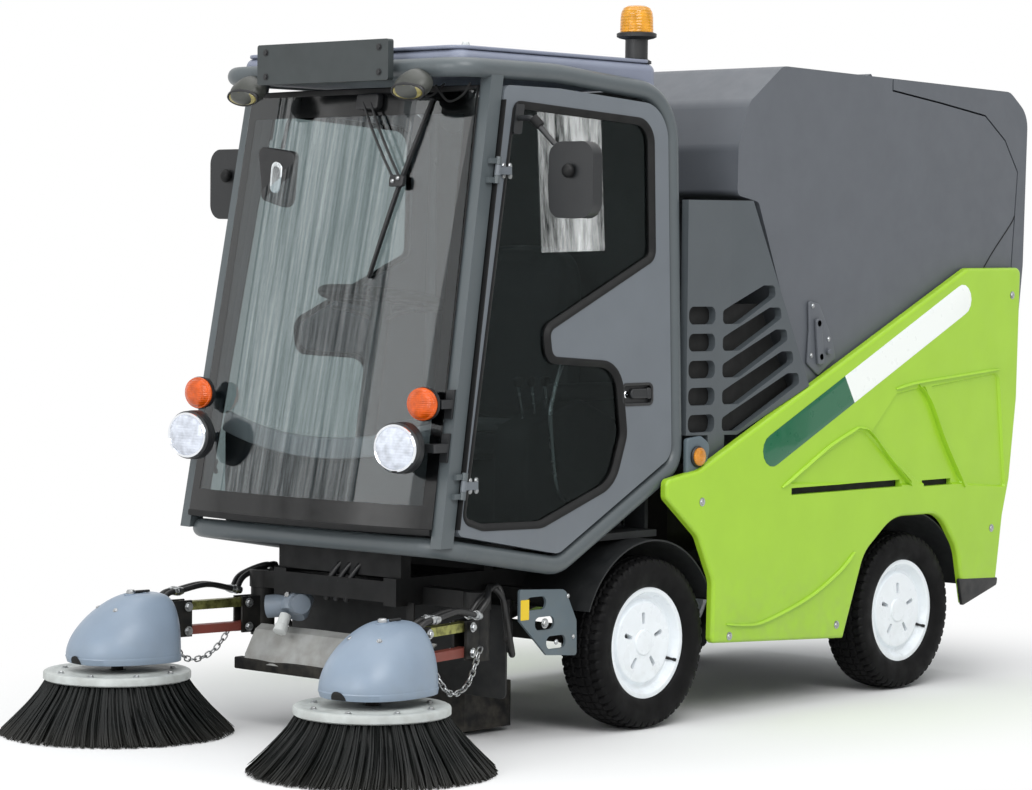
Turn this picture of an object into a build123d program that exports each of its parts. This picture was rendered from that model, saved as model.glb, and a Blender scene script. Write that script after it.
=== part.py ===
from build123d import *
import os
from math import atan2, cos, degrees, hypot, pi, radians, sin, tan

# Compact street sweeper. Millimetres. +Z is up, the front faces -Y, +X is the machine's left side.
# The origin is on the ground, in the middle of the machine's length and width.

# ---- Driving sizes -------------------------------------------------------------------------------
FIT = 0.3                 # gap between seated curved pieces
RUN = 0.05                # radial clearance of a pin in its bore
MOVE_GAP = 6.0            # gap between a moving panel and its frame

# Wheels
WHEELBASE = 1300.0
FRONT_AXLE_Y = -250.0
TYRE_RADIUS = 257.0
TYRE_WIDTH = 150.0
BEAD_RADIUS = 152.4
FLANGE_RADIUS = 167.0
FLANGE_THICK = 6.0
RIM_WIDTH = 112.0
RIM_WALL = 5.0
DISC_OFFSET = 22.0        # wheel disc, outboard of the wheel's centre plane
DISC_THICK = 6.0
DISH_RADIUS = 120.0       # raised middle of the disc
DISH_RISE = 14.0
SLOT_COUNT = 5
SLOT_RADIUS = 72.0

# Axles and steering
HUB_RADIUS = 45.0
HUB_DEPTH = 40.0
SPINDLE_RADIUS = 20.0
KINGPIN_RADIUS = 15.0
EYE_RADIUS = 30.0
EYE_HEIGHT = 60.0
LUG_THICK = 18.0
ARM_REACH = 100.0         # steering arm, kingpin to ball pin
BALL_RADIUS = 8.0
AXLE_DEPTH = 60.0
AXLE_HEIGHT = 50.0

# Chassis
RAIL_X = 225.0
RAIL_WIDTH = 50.0
RAIL_LOW = 400.0
RAIL_HEIGHT = 80.0
RAIL_FRONT_Y = -1040.0
REAR_OVERHANG = 510.0     # rails, behind the rear axle
CROSS_DEPTH = 60.0
CROSS_INSET = 10.0
OUTRIGGER_DEPTH = 40.0
ENGINE_FRONT = 235.0
ENGINE_SETBACK = 355.0    # rear face ahead of the rear axle
ENGINE_LOW = 330.0
ENGINE_HEIGHT = 360.0
TIE_EYE_Z = 215.0
TIE_EYE_RADIUS = 16.0
TIE_EYE_X = 285.0
TIE_PLATE = 15.0
SIDE_PLATE_X = 498.0
SIDE_PLATE_THICK = 8.0
SIDE_PLATE_Y = -650.0

# Side panels
BODY_HALF = 566.0
WHEEL_INSET = 98.0        # wheel centre planes, in from the side panels
PANEL_WALL = 25.0
ARCH_RADIUS = 322.0
RELIEF_DEPTH = 8.0
RELIEF_SLOPE = 35.0       # degrees, the relief walls from upright
PANEL_EDGE = 12.0
LINER_WALL = 5.0
LINER_INNER_X = 255.0

# Cab
CAB_HALF = 512.0          # tube centreline at sill height
CAB_LEAN = 1.6            # degrees, the sides lean in towards the roof
SILL_Z = 600.0
HOOP_RADIUS = 27.5
HOOP_REAR_Y = -118.0
HOOP_ROOF_Z = 1927.0
HOOP_FRONT_Y = -1030.0
POST_FOOT_Y = -1130.0
POST_HEAD_Y = -898.0
POST_HEAD_Z = 1915.0
POST_DEPTH = 50.0
POST_WIDTH = 40.0
DOOR_INNER = -4.0         # inner face of a door, outboard of the tube centreline
DOOR_THICK = 28.0
GLASS_THICK = 6.0
GLASS_SET = 10.0          # glass, in from the door's inner face
FLOOR_TOP = 586.0
FLOOR_THICK = 20.0
FLOOR_INSET = 42.0        # floor edge, in from the tube centreline
WALL_THICK = 15.0
WALL_INSET = 76.0         # rear wall edge, in from the tube centreline
ROOF_TOP = 1980.0
SCREEN_BOW = 45.0
HINGE_RADIUS = 9.0
HINGE_PIN = 5.0
KNUCKLE_LENGTH = 30.0
HINGE_HEIGHTS = (760.0, 1640.0)
BELLY_CORNER = (-655.0, 512.0)    # lowest bend of the side tube (Y, Z)
ROOF_CORNER = 70.0
SEAT_Z = 800.0
CUSHION_THICK = 100.0
COLUMN_LEAN = 9.0         # degrees from upright
COLUMN_HEAD = (0.0, -850.0, 1262.0)
COLUMN_RADIUS = 30.0
STEERING_RADIUS = 175.0
STEERING_GRIP = 14.0

# Lamps, board and beacon
HEADLAMP = (425.0, -1160.0, 868.0)
HEADLAMP_RADIUS = 68.0
INDICATOR = (457.0, -1128.0, 989.0)
INDICATOR_RADIUS = 48.0
WORK_LAMP_X = 336.0
WORK_LAMP_Z = 1877.0
BOARD_HALF = 266.0
BOARD_Y = -1105.0
BOARD_THICK = 22.0
BOARD_BOLT_X = 460.0
BOARD_BOLT_Z = 70.0
BOARD_BOLT_RADIUS = 3.5
BEACON_INSET = 120.0      # beacon axis, in from the tube centreline
BEACON_Y = -170.0
BEACON_TOP = 2154.0
BEACON_LENS = 78.0

# Hopper
HOPPER_INSET = 34.0       # hopper sides, in from the side panels
HOPPER_WALL = 12.0
HOPPER_FLOOR_Z = 722.0
HOPPER_PIVOT_Z = 680.0
HOPPER_PIN = 14.0
LID_HINGE_Z = 1995.0
LID_PIN = 5.0

# Sweeping gear
BRUSH_X = 522.0
BRUSH_Y = -1410.0
BRISTLE_FLARE = 345.0
BRISTLE_TOP = 158.0
PLATE_RADIUS = 215.0
SHAFT_RADIUS = 18.0
SWING_X = 440.0
SWING_Y = -905.0
SWING_PIN = 22.0
LINK_REAR = 72.0          # along the arm, from the swing pin to the links' rear pins
LINK_LENGTH = 215.0
LINK_LOW_Z = 285.0
LINK_RISE = 72.0
LINK_HALF = 16.0
LINK_PIN = 8.0
CHEEK = 8.0
COVER_TOP = 403.0
COVER_BASE = 210.0
COVER_WALL = 5.0
COVER_TAIL = 48.0         # rear face of the cover ahead of the links' front pins
# The cover's rings: share of its height, reach ahead of the links, half width, lean of the tail.
COVER_RINGS = ((0.0, 366, 140, 0), (0.1, 372, 145, 0), (0.26, 366, 143, 0), (0.46, 344, 134, 0),
               (0.64, 312, 119, 2), (0.79, 276, 100, 6), (0.9, 240, 80, 14), (0.97, 208, 60, 28),
               (1.0, 184, 42, 44))

# Grilles, suction nozzle and duct
GRILLE_ROWS = 5
GRILLE_TOP = 1228.0
GRILLE_PITCH = 81.5
NOZZLE_HALF = 260.0
DUCT_RADIUS = 85.0

# Places that follow from the sizes
REAR_AXLE_Y = FRONT_AXLE_Y + WHEELBASE
WHEEL_X = BODY_HALF - WHEEL_INSET
KINGPIN_X = WHEEL_X - 73
HOPPER_HALF = BODY_HALF - HOPPER_INSET
RAIL_REAR_Y = REAR_AXLE_Y + REAR_OVERHANG
HOPPER_PIVOT_Y = RAIL_REAR_Y - 40
TIE_EYE_Y = RAIL_REAR_Y - 120
LID_HINGE_Y = REAR_AXLE_Y - 93
CROSS_Y = (RAIL_FRONT_Y + 30, 190, REAR_AXLE_Y - 310, RAIL_REAR_Y - 60)
OUTRIGGER_Y = (190, REAR_AXLE_Y - 310, RAIL_REAR_Y - 80)
AXLE_Z = TYRE_RADIUS
RAIL_TOP = RAIL_LOW + RAIL_HEIGHT
PANEL_INNER = BODY_HALF - PANEL_WALL
FLOOR_HALF = CAB_HALF - FLOOR_INSET
WALL_HALF = CAB_HALF - WALL_INSET
FLOOR_UNDER = FLOOR_TOP - FLOOR_THICK
BEACON = (CAB_HALF - BEACON_INSET, BEACON_Y)
RAIL_INNER = RAIL_X - RAIL_WIDTH / 2
RAIL_OUTER = RAIL_X + RAIL_WIDTH / 2
SPINDLE_END = WHEEL_X + DISC_OFFSET - 6

# Outlines, as (Y, Z) and corner radius, and the places that follow from them
SILL_CORNER = (POST_FOOT_Y + 4, SILL_Z - 12)
REAR_CORNER = (HOOP_REAR_Y, 782.0)
ROOF_REAR = (HOOP_REAR_Y, HOOP_ROOF_Z - 39)
ROOF_BEND = (-640.0, HOOP_ROOF_Z)
ROOF_FRONT = (HOOP_FRONT_Y, HOOP_ROOF_Z)
HOOP_CORNERS = [(SILL_CORNER, 70), (BELLY_CORNER, 120), (REAR_CORNER, 90), (ROOF_REAR, 150),
                (ROOF_BEND, 600), (ROOF_FRONT, ROOF_CORNER)]
WINDOW_POINTS = [(-1068, 660, 30), (-990, 636, 60), (-740, 630, 110), (-420, 735, 120),
                 (-362, 880, 80), (-385, 1090, 90), (-690, 1110, 30), (-700, 1190, 30),
                 (-222, 1398, 40), (-222, 1805, 70), (-834, 1836, 30)]
DOOR_FRONT = POST_DEPTH / 2 + MOVE_GAP
HINGE_OUT = DOOR_INNER + DOOR_THICK + HINGE_RADIUS
HINGE_BACK = POST_DEPTH / 2 + MOVE_GAP / 2
RELIEFS = [[(363, 704, 8), (742, 859, 12), (791, 854, 12), (REAR_AXLE_Y + 12, 669, 8)],
           [(REAR_AXLE_Y - 97, 972, 10), (REAR_AXLE_Y + 60, 991, 10), (REAR_AXLE_Y + 288, 660, 8),
            (REAR_AXLE_Y + 40, 671, 8), (808, 844, 12)],
           [(REAR_AXLE_Y + 89, 990, 10), (REAR_AXLE_Y + 493, 1028, 30), (REAR_AXLE_Y + 540, 638, 10),
            (REAR_AXLE_Y + 315, 655, 8)]]
ARCH_POINTS = [(-1.22, -0.34), (-0.814, 0.637, 130), (-0.326, 0.975, 200), (0.497, 0.969, 130),
               (0.814, 0.59, 150), (0.94, 0.06), (1.02, -0.2)]
HOPPER_OUTLINE = [(149, 1594, 20), (152, 1740, 60), (206, 1880, 60), (371, 1997, 60),
                  (REAR_AXLE_Y + 586, 1973, 70), (REAR_AXLE_Y + 695, 1900, 90), (REAR_AXLE_Y + 678, 1389),
                  (REAR_AXLE_Y + 590, HOPPER_FLOOR_Z, 40), (640, HOPPER_FLOOR_Z, 40), (500, 1000, 60),
                  (255, 1575, 20)]
LID_SEAM = [(LID_HINGE_Y, 1950), (REAR_AXLE_Y + 173, 1922), (REAR_AXLE_Y + 438, 1890),
            (REAR_AXLE_Y + 560, 1811), (REAR_AXLE_Y + 640, 1705), (REAR_AXLE_Y + 610, 1389),
            (REAR_AXLE_Y + 550, HOPPER_FLOOR_Z - 50), (REAR_AXLE_Y + 850, HOPPER_FLOOR_Z - 50),
            (REAR_AXLE_Y + 850, 2100), (LID_HINGE_Y, 2100)]
ARM_ANGLE = degrees(atan2(BRUSH_Y - SWING_Y, BRUSH_X - SWING_X))
ARM_LENGTH = hypot(BRUSH_X - SWING_X, BRUSH_Y - SWING_Y)
LINK_HIGH_Z = LINK_LOW_Z + LINK_RISE
LINK_FRONT = LINK_REAR + LINK_LENGTH

os.makedirs("parts", exist_ok=True)


# ---- Helpers -------------------------------------------------------------------------------------
def block(x, y, z):
    """A box between pairs of limits."""
    size = [abs(pair[1] - pair[0]) for pair in (x, y, z)]
    middle = [(pair[0] + pair[1]) / 2 for pair in (x, y, z)]
    return Pos(*middle) * Box(*size)


def outline(points):
    """A closed face from (u, v) points or (u, v, corner radius) points."""
    radii = [p[2] if len(p) > 2 else 0 for p in points]
    flat = [(p[0], p[1]) for p in points]
    return make_face(FilletPolyline(*flat, radius=radii, close=True))


def plate_x(points, x_low, x_high):
    """A plate whose outline lies in the YZ plane."""
    return extrude(Plane.YZ.offset(x_low) * outline(points), x_high - x_low)


def plate_y(points, y_low, y_high):
    """A plate whose outline lies in the XZ plane."""
    return extrude(Plane.XZ.offset(-y_high) * outline(points), y_high - y_low)


def plate_z(points, z_low, z_high):
    """A plate whose outline lies in the XY plane."""
    return extrude(Plane.XY.offset(z_low) * outline(points), z_high - z_low)


def rod(start, end, radius):
    """A round bar from one point to another."""
    line = Vector(*end) - Vector(*start)
    return Solid.make_cylinder(radius, line.length, Plane(origin=start, z_dir=line))


def bar_x(x, y, z, radius):
    """A round bar along X between two limits."""
    return rod((min(x), y, z), (max(x), y, z), radius)


def tube(points, radius, bends):
    """A round tube along straight runs joined by arcs."""
    path = FilletPolyline(*points, radius=bends)
    return sweep(Plane(origin=path @ 0, z_dir=path % 0) * Circle(radius), path=path)


def mirrored(shape):
    """The same piece on the machine's right side."""
    return mirror(shape, about=Plane.YZ)


def fused(pieces):
    """One solid from overlapping pieces."""
    whole = pieces[0]
    for piece in pieces[1:]:
        whole = whole + piece
    return whole


def apart(pieces):
    """Separate solids that share a node."""
    return Compound(children=[Compound(piece.solids()) for piece in pieces])


def save(name, shape):
    export_step(shape, f"parts/{name}.step")


def save_pair(name, shape):
    save(f"{name}_left", shape)
    save(f"{name}_right", mirrored(shape))


def leaned(shape):
    """Moves a piece drawn about the plane X=0 into the cab's leaning left side."""
    return Pos(CAB_HALF, 0, SILL_Z) * Rot(0, -CAB_LEAN, 0) * Pos(0, 0, -SILL_Z) * shape


def side_x(z):
    """Half width between the cab's tube centrelines at a height."""
    return CAB_HALF - tan(radians(CAB_LEAN)) * (z - SILL_Z)


def post_y(z):
    """Centreline of the leaning front post."""
    return POST_FOOT_Y + (POST_HEAD_Y - POST_FOOT_Y) * (z - SILL_Z) / (POST_HEAD_Z - SILL_Z)


def ring_sector(radius, wall, low, high, x, centre):
    """A curved sheet about an axis along X, between two angles from +Y."""
    y, z = centre
    face = Plane.YZ.offset(x[0]) * (Pos(y, z) * (Circle(radius) - Circle(radius - wall)))
    reach = 3 * radius
    wedge = [(y, z), (y + reach * cos(radians(low)), z + reach * sin(radians(low))), (y, z + reach),
             (y + reach * cos(radians(high)), z + reach * sin(radians(high)))]
    return extrude(face, x[1] - x[0]) & plate_x(wedge, x[0], x[1])


# ---- Wheels --------------------------------------------------------------------------------------
def make_tyre(y):
    half = TYRE_WIDTH / 2
    seat = RIM_WIDTH / 2 - FLANGE_THICK - FIT
    lip = FLANGE_RADIUS + FIT
    side = [(-seat, BEAD_RADIUS + FIT), (-seat, lip), (-seat - 14, lip), (-half, lip + 42, 30),
            (-half + 8, TYRE_RADIUS - 14, 12), (-half + 22, TYRE_RADIUS, 8)]
    section = side + [(-p[0], *p[1:]) for p in reversed(side)]
    return Pos(WHEEL_X, y, AXLE_Z) * revolve(Plane.XY * outline(section), Axis.X)


def make_rim(y):
    """Steel rim with a raised disc, radial slots and a hub bored for the spindle."""
    half = RIM_WIDTH / 2
    inner = BEAD_RADIUS - RIM_WALL
    face = DISC_OFFSET + DISC_THICK
    top = face + DISH_RISE
    section = [(-half, inner), (-half, FLANGE_RADIUS, 2), (-half + FLANGE_THICK, FLANGE_RADIUS, 2),
               (-half + FLANGE_THICK, BEAD_RADIUS), (half - FLANGE_THICK, BEAD_RADIUS),
               (half - FLANGE_THICK, FLANGE_RADIUS, 2), (half, FLANGE_RADIUS, 2), (half, inner + 4, 4),
               (face, inner - 8, 6), (face, DISH_RADIUS + 8, 6), (top, DISH_RADIUS, 6),
               (top, SLOT_RADIUS / 2 + 4), (top + 5, SLOT_RADIUS / 2, 3), (top + 5, 0),
               (DISC_OFFSET, 0), (DISC_OFFSET, inner)]
    rim = revolve(Plane.XY * outline(section), Axis.X)
    rim = rim + bar_x((DISC_OFFSET - HUB_DEPTH, DISC_OFFSET + 2), 0, 0, HUB_RADIUS)
    rim = rim - bar_x((-half - 5, DISC_OFFSET - 4), 0, 0, SPINDLE_RADIUS + RUN)
    for turn in range(SLOT_COUNT):
        slot = plate_x([(-5, SLOT_RADIUS - 18, 4), (5, SLOT_RADIUS - 18, 4), (8, SLOT_RADIUS + 18, 6),
                        (-8, SLOT_RADIUS + 18, 6)], DISC_OFFSET - 5, top + 5)
        rim = rim - Rot(360 / SLOT_COUNT * turn, 0, 0) * slot
    return Pos(WHEEL_X, y, AXLE_Z) * rim


for corner, axle_y in (("front", FRONT_AXLE_Y), ("rear", REAR_AXLE_Y)):
    save_pair(f"tyre_{corner}", make_tyre(axle_y))
    save_pair(f"rim_{corner}", make_rim(axle_y))


# ---- Axles and steering --------------------------------------------------------------------------
def axle_beam(y, half_width):
    """Square beam hung from the chassis rails by two struts."""
    depth = (y - AXLE_DEPTH / 2, y + AXLE_DEPTH / 2)
    height = (AXLE_Z - AXLE_HEIGHT / 2, AXLE_Z + AXLE_HEIGHT / 2)
    beam = block((-half_width, half_width), (depth[0] + 8, depth[1] - 8), height)
    for side in (-1, 1):
        strut = (side * RAIL_X - 20, side * RAIL_X + 20)
        beam = beam + block(strut, depth, (height[0], RAIL_LOW))
    return beam


def make_front_axle():
    beam = axle_beam(FRONT_AXLE_Y, KINGPIN_X)
    for side in (-1, 1):
        foot = (side * KINGPIN_X, FRONT_AXLE_Y, AXLE_Z - EYE_HEIGHT / 2)
        head = (side * KINGPIN_X, FRONT_AXLE_Y, AXLE_Z + EYE_HEIGHT / 2)
        beam = beam + rod(foot, head, EYE_RADIUS) - rod(foot, head, KINGPIN_RADIUS + RUN)
    return beam


def make_rear_axle():
    inner = WHEEL_X + DISC_OFFSET - HUB_DEPTH - MOVE_GAP - 18
    axle = axle_beam(REAR_AXLE_Y, inner)
    for side in (-1, 1):
        axle = axle + bar_x((side * (inner - 5), side * (inner + 12)), REAR_AXLE_Y, AXLE_Z, HUB_RADIUS)
        axle = axle + bar_x((side * inner, side * SPINDLE_END), REAR_AXLE_Y, AXLE_Z, SPINDLE_RADIUS)
    return axle


def make_knuckle():
    """Yoke round the axle's eye, with its kingpin, wheel spindle and steering arm."""
    x, y, z = KINGPIN_X, FRONT_AXLE_Y, AXLE_Z
    low = EYE_HEIGHT / 2 + 1
    high = low + LUG_THICK
    back = WHEEL_X + DISC_OFFSET - HUB_DEPTH - MOVE_GAP
    pieces = [block((back - 14, back), (y - 28, y + 28), (z - high, z + high)),
              rod((x, y, z - high), (x, y, z + high), KINGPIN_RADIUS),
              bar_x((back - 5, SPINDLE_END), y, z, SPINDLE_RADIUS)]
    for z_low, z_high in ((z - high, z - low), (z + low, z + high)):
        pieces.append(block((x, back - 5), (y - 28, y + 28), (z_low, z_high)))
        pieces.append(rod((x, y, z_low), (x, y, z_high), 28))
    ball = (x, y + ARM_REACH)
    pieces.append(block((ball[0] - 10, ball[0] + 10), (y, ball[1]), (z - high, z - low)))
    pieces.append(rod((*ball, z - high), (*ball, z - low), 18))
    pieces.append(rod((*ball, z - low), (*ball, z - 2), BALL_RADIUS))
    return fused(pieces)


def make_tie_rod():
    """Straight rod with an eye over each steering arm's pin."""
    x = KINGPIN_X
    y = FRONT_AXLE_Y + ARM_REACH
    low, high = AXLE_Z - EYE_HEIGHT / 2 - 0.5, AXLE_Z - 4
    rod_body = bar_x((-x, x), y, (low + high) / 2, 9)
    for side in (-1, 1):
        rod_body = rod_body + rod((side * x, y, low), (side * x, y, high), 17)
    rod_body = rod_body - rod((x, y, 0), (x, y, 2 * AXLE_Z), BALL_RADIUS + RUN)
    return rod_body - rod((-x, y, 0), (-x, y, 2 * AXLE_Z), BALL_RADIUS + 1)


save("axles", apart([make_front_axle(), make_rear_axle()]))
save_pair("knuckle", make_knuckle())
save("tie_rod", make_tie_rod())


# ---- Chassis -------------------------------------------------------------------------------------
def on_both_sides(shapes):
    """The shapes and their mirror images, as separate solids of one node."""
    return apart(shapes + [mirrored(shape) for shape in shapes])


def make_rails():
    rail = block((RAIL_INNER, RAIL_OUTER), (RAIL_FRONT_Y, RAIL_REAR_Y), (RAIL_LOW, RAIL_TOP))
    return on_both_sides([rail])


def make_cross_members():
    """Bars between the rails, outriggers beside them, and the cab's two bearers on top."""
    middle = [block((-RAIL_INNER, RAIL_INNER), (y - CROSS_DEPTH / 2, y + CROSS_DEPTH / 2),
                    (RAIL_LOW + CROSS_INSET, RAIL_TOP - CROSS_INSET)) for y in CROSS_Y]
    for y in (RAIL_FRONT_Y + 40, SIDE_PLATE_Y):
        middle.append(block((-RAIL_OUTER, RAIL_OUTER), (y - 20, y + 20), (RAIL_TOP, FLOOR_UNDER)))
    outer = [block((RAIL_OUTER, PANEL_INNER - FIT), (y - OUTRIGGER_DEPTH / 2, y + OUTRIGGER_DEPTH / 2),
                   (RAIL_LOW + 2 * CROSS_INSET, RAIL_TOP - 2 * CROSS_INSET)) for y in OUTRIGGER_Y]
    outer.append(block((RAIL_OUTER, SIDE_PLATE_X), (SIDE_PLATE_Y - 20, SIDE_PLATE_Y + 20),
                       (RAIL_LOW, RAIL_LOW + 40)))
    return apart(middle + outer + [mirrored(bar) for bar in outer])


def make_swing_bracket():
    """Beam from the rail to the pin that a brush arm swings on."""
    beam = block((RAIL_OUTER, SWING_X), (SWING_Y - 25, SWING_Y + 25), (RAIL_LOW, RAIL_LOW + 50))
    boss = rod((SWING_X, SWING_Y, RAIL_LOW), (SWING_X, SWING_Y, RAIL_LOW + 50), 40)
    pin = rod((SWING_X, SWING_Y, LINK_LOW_Z - 30), (SWING_X, SWING_Y, RAIL_LOW + 50), SWING_PIN)
    return fused([beam, boss, pin])


def make_clevis():
    """Two cheeks on the rail's shelf, with the pin that the hopper tips about."""
    shelf = block((144, RAIL_INNER), (HOPPER_PIVOT_Y - 55, HOPPER_PIVOT_Y + 38),
                  (RAIL_TOP - CROSS_INSET, RAIL_TOP + 5))
    cheeks = [plate_x([(HOPPER_PIVOT_Y - 55, RAIL_TOP - 5), (HOPPER_PIVOT_Y + 38, RAIL_TOP - 5),
                       (HOPPER_PIVOT_Y + 24, HOPPER_PIVOT_Z + 24, 18),
                       (HOPPER_PIVOT_Y - 24, HOPPER_PIVOT_Z + 24, 18)], x - 6, x + 6) for x in (150, 190)]
    pin = bar_x((145, 195), HOPPER_PIVOT_Y, HOPPER_PIVOT_Z, HOPPER_PIN)
    return fused([shelf, pin] + cheeks)


def make_tie_down():
    """Plate under the rail with an eye for a lashing."""
    shelf = block((RAIL_OUTER - 20, TIE_EYE_X + TIE_PLATE / 2), (TIE_EYE_Y - 40, TIE_EYE_Y + 40),
                  (RAIL_LOW - 12, RAIL_LOW))
    plate = plate_x([(TIE_EYE_Y - 40, RAIL_LOW), (TIE_EYE_Y + 40, RAIL_LOW),
                     (TIE_EYE_Y + 36, TIE_EYE_Z - 36, 30), (TIE_EYE_Y - 36, TIE_EYE_Z - 36, 30)],
                    TIE_EYE_X - TIE_PLATE / 2, TIE_EYE_X + TIE_PLATE / 2)
    return shelf + plate - bar_x((200, 400), TIE_EYE_Y, TIE_EYE_Z, TIE_EYE_RADIUS)


def make_engine():
    half = RAIL_X - RAIL_WIDTH / 2
    return block((-half, half), (ENGINE_FRONT, REAR_AXLE_Y - ENGINE_SETBACK),
                 (ENGINE_LOW, ENGINE_LOW + ENGINE_HEIGHT))


def make_side_plate():
    """Plate with three oval holes below the cab's sill."""
    plate = plate_x([(-798, 452, 8), (-600, 440, 30), (-550, 346, 10), (-548, 244, 10), (-680, 255, 10),
                     (-798, 362, 10)], SIDE_PLATE_X, SIDE_PLATE_X + SIDE_PLATE_THICK)
    for y, z in ((-726, 408), (-690, 348), (-640, 290)):
        hole = plate_x([(y - 42, z - 19, 18), (y + 42, z - 19, 18), (y + 42, z + 19, 18),
                        (y - 42, z + 19, 18)], SIDE_PLATE_X - 5, SIDE_PLATE_X + SIDE_PLATE_THICK + 5)
        plate = plate - hole
    return plate


save("chassis_rails", make_rails())
save("cross_members", make_cross_members())
save("frame_brackets", on_both_sides([make_swing_bracket(), make_clevis(), make_tie_down()]))
save("engine_block", make_engine())
save("side_plates", apart([make_side_plate(), mirrored(make_side_plate())]))


# ---- Cab -----------------------------------------------------------------------------------------
def make_cab_frame():
    """One bent tube round both sides, sill and roof, with leaning posts and cross tubes."""
    left = [(side_x(z), y, z) for (y, z), _ in HOOP_CORNERS]
    right = [(-x, y, z) for x, y, z in reversed(left)]
    bends = [bend for _, bend in HOOP_CORNERS]
    path = FilletPolyline(*(left + right), radius=bends + bends[::-1], close=True)
    frame = sweep(Plane(origin=path @ 0, z_dir=path % 0) * Circle(HOOP_RADIUS), path=path)
    low = SILL_Z - 10
    post = plate_x([(post_y(low) - POST_DEPTH / 2, low), (post_y(low) + POST_DEPTH / 2, low),
                    (post_y(POST_HEAD_Z) + POST_DEPTH / 2, POST_HEAD_Z),
                    (post_y(POST_HEAD_Z) - POST_DEPTH / 2, POST_HEAD_Z)], -POST_WIDTH / 2, POST_WIDTH / 2)
    for z in HINGE_HEIGHTS:
        post = post + hinge_frame_side(z)
    post = leaned(post)
    frame = frame + post + mirrored(post)
    for z in (880, 1700):
        frame = frame + bar_x((-side_x(z), side_x(z)), HOOP_REAR_Y, z, HOOP_RADIUS - 5)
    for side in (-1, 1):
        feet = block((side * RAIL_INNER, side * RAIL_OUTER), (HOOP_REAR_Y - 20, HOOP_REAR_Y + 20),
                     (RAIL_TOP, 880))
        frame = frame + feet
    return frame


def hinge_line(z):
    """A point of a door's hinge line, in the side's flat plane."""
    return (HINGE_OUT, post_y(z) + HINGE_BACK, z)


def along_hinge(z, start, end, radius):
    """A round bar on the hinge line, between two offsets along it."""
    direction = (Vector(*hinge_line(z + 100)) - Vector(*hinge_line(z))).normalized()
    origin = Vector(*hinge_line(z))
    return rod(tuple(origin + direction * start), tuple(origin + direction * end), radius)


def hinge_frame_side(z):
    """Two barrels and a pin on the post, either side of the door's barrel."""
    half = KNUCKLE_LENGTH / 2
    pieces = [along_hinge(z, -2 * half - 8, 2 * half + 8, HINGE_PIN)]
    for start in (half + 1, -2 * half - 8):
        barrel = along_hinge(z, start, start + half + 7, HINGE_RADIUS)
        y = post_y(z + start + half / 2)
        ear = block((0, HINGE_OUT), (y - 4, y + HINGE_BACK), (z + start + 3, z + start + half + 3))
        pieces.append(barrel + ear)
    return fused(pieces)


def hinge_door_side(z):
    half = KNUCKLE_LENGTH / 2
    barrel = along_hinge(z, -half, half, HINGE_RADIUS)
    y = hinge_line(z)[1]
    ear = block((DOOR_INNER + DOOR_THICK - 2, HINGE_OUT), (y, y + 60), (z - half + 4, z + half - 4))
    bore = along_hinge(z, -half - 1, half + 1, HINGE_PIN + RUN)
    return barrel + ear - bore


def make_door():
    """Door panel in its flat plane, with the window cut and its hinge barrels."""
    gap = HOOP_RADIUS + MOVE_GAP
    rear = HOOP_REAR_Y - gap
    outer = DOOR_INNER + DOOR_THICK
    panel = plate_x([(post_y(624) + DOOR_FRONT, 624, 25), (-668, 548, 60), (rear, 808, 60),
                     (rear, 1852, 110), (-640, 1882), (post_y(1882) + DOOR_FRONT, 1882, 25)],
                    DOOR_INNER, outer)
    panel = panel - plate_x(WINDOW_POINTS, -100, 100)
    panel = panel - plate_x([(-375, 966, 20), (-240, 966, 20), (-240, 1028, 20), (-375, 1028, 20)],
                            outer - 12, outer + 5)
    for z in HINGE_HEIGHTS:
        panel = panel + hinge_door_side(z)
        relief = along_hinge(z, -2 * KNUCKLE_LENGTH, 2 * KNUCKLE_LENGTH, HINGE_PIN + RUN)
        panel = panel - relief
    return panel


def make_door_glass():
    """Pane that fills the window."""
    low = DOOR_INNER + GLASS_SET
    return plate_x(WINDOW_POINTS, low, low + GLASS_THICK)


def make_screen():
    """Bowed windscreen leaning with the posts."""
    low, high = SILL_Z + 34, POST_HEAD_Z - 44
    half = CAB_HALF - POST_WIDTH / 2
    front = -POST_DEPTH / 2 - FIT
    outer = ThreePointArc((-half, front - GLASS_THICK), (0, front - GLASS_THICK - SCREEN_BOW),
                          (half, front - GLASS_THICK))
    inner = ThreePointArc((-half, front), (0, front - SCREEN_BOW), (half, front))
    ends = [Line(outer @ 1, inner @ 1), Line(outer @ 0, inner @ 0)]
    face = Pos(0, post_y(low), low) * make_face(Curve() + [outer, inner] + ends)
    slope = Vector(0, post_y(high) - post_y(low), high - low)
    pane = extrude(face, slope.length, dir=slope)
    narrow = tan(radians(CAB_LEAN)) * (high - low)
    trapezoid = [(-half, low), (half, low), (half - narrow, high), (-half + narrow, high)]
    return pane & plate_y(trapezoid, -2000, 0)


def make_roof():
    """Roof skin between the side tubes, with rounded corners and edges."""
    half = side_x(HOOP_ROOF_Z) - HOOP_RADIUS - FIT
    front, rear = HOOP_FRONT_Y + HOOP_RADIUS + FIT, HOOP_REAR_Y - 10
    corner = ROOF_CORNER - HOOP_RADIUS - FIT
    skin = plate_z([(-half, front, corner), (half, front, corner), (half, rear, 40),
                    (-half, rear, 40)], HOOP_ROOF_Z - 22, ROOF_TOP)
    return fillet(skin.faces().sort_by(Axis.Z)[-1].edges(), 24)


def make_column():
    length = (COLUMN_HEAD[2] - FLOOR_TOP) / cos(radians(COLUMN_LEAN)) + 50
    foot = (0, COLUMN_HEAD[1] - length * sin(radians(COLUMN_LEAN)),
            COLUMN_HEAD[2] - length * cos(radians(COLUMN_LEAN)))
    column = rod(foot, COLUMN_HEAD, COLUMN_RADIUS)
    return column - block((-200, 200), (foot[1] - 200, foot[1] + 200), (FLOOR_TOP - 200, FLOOR_TOP))


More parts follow.
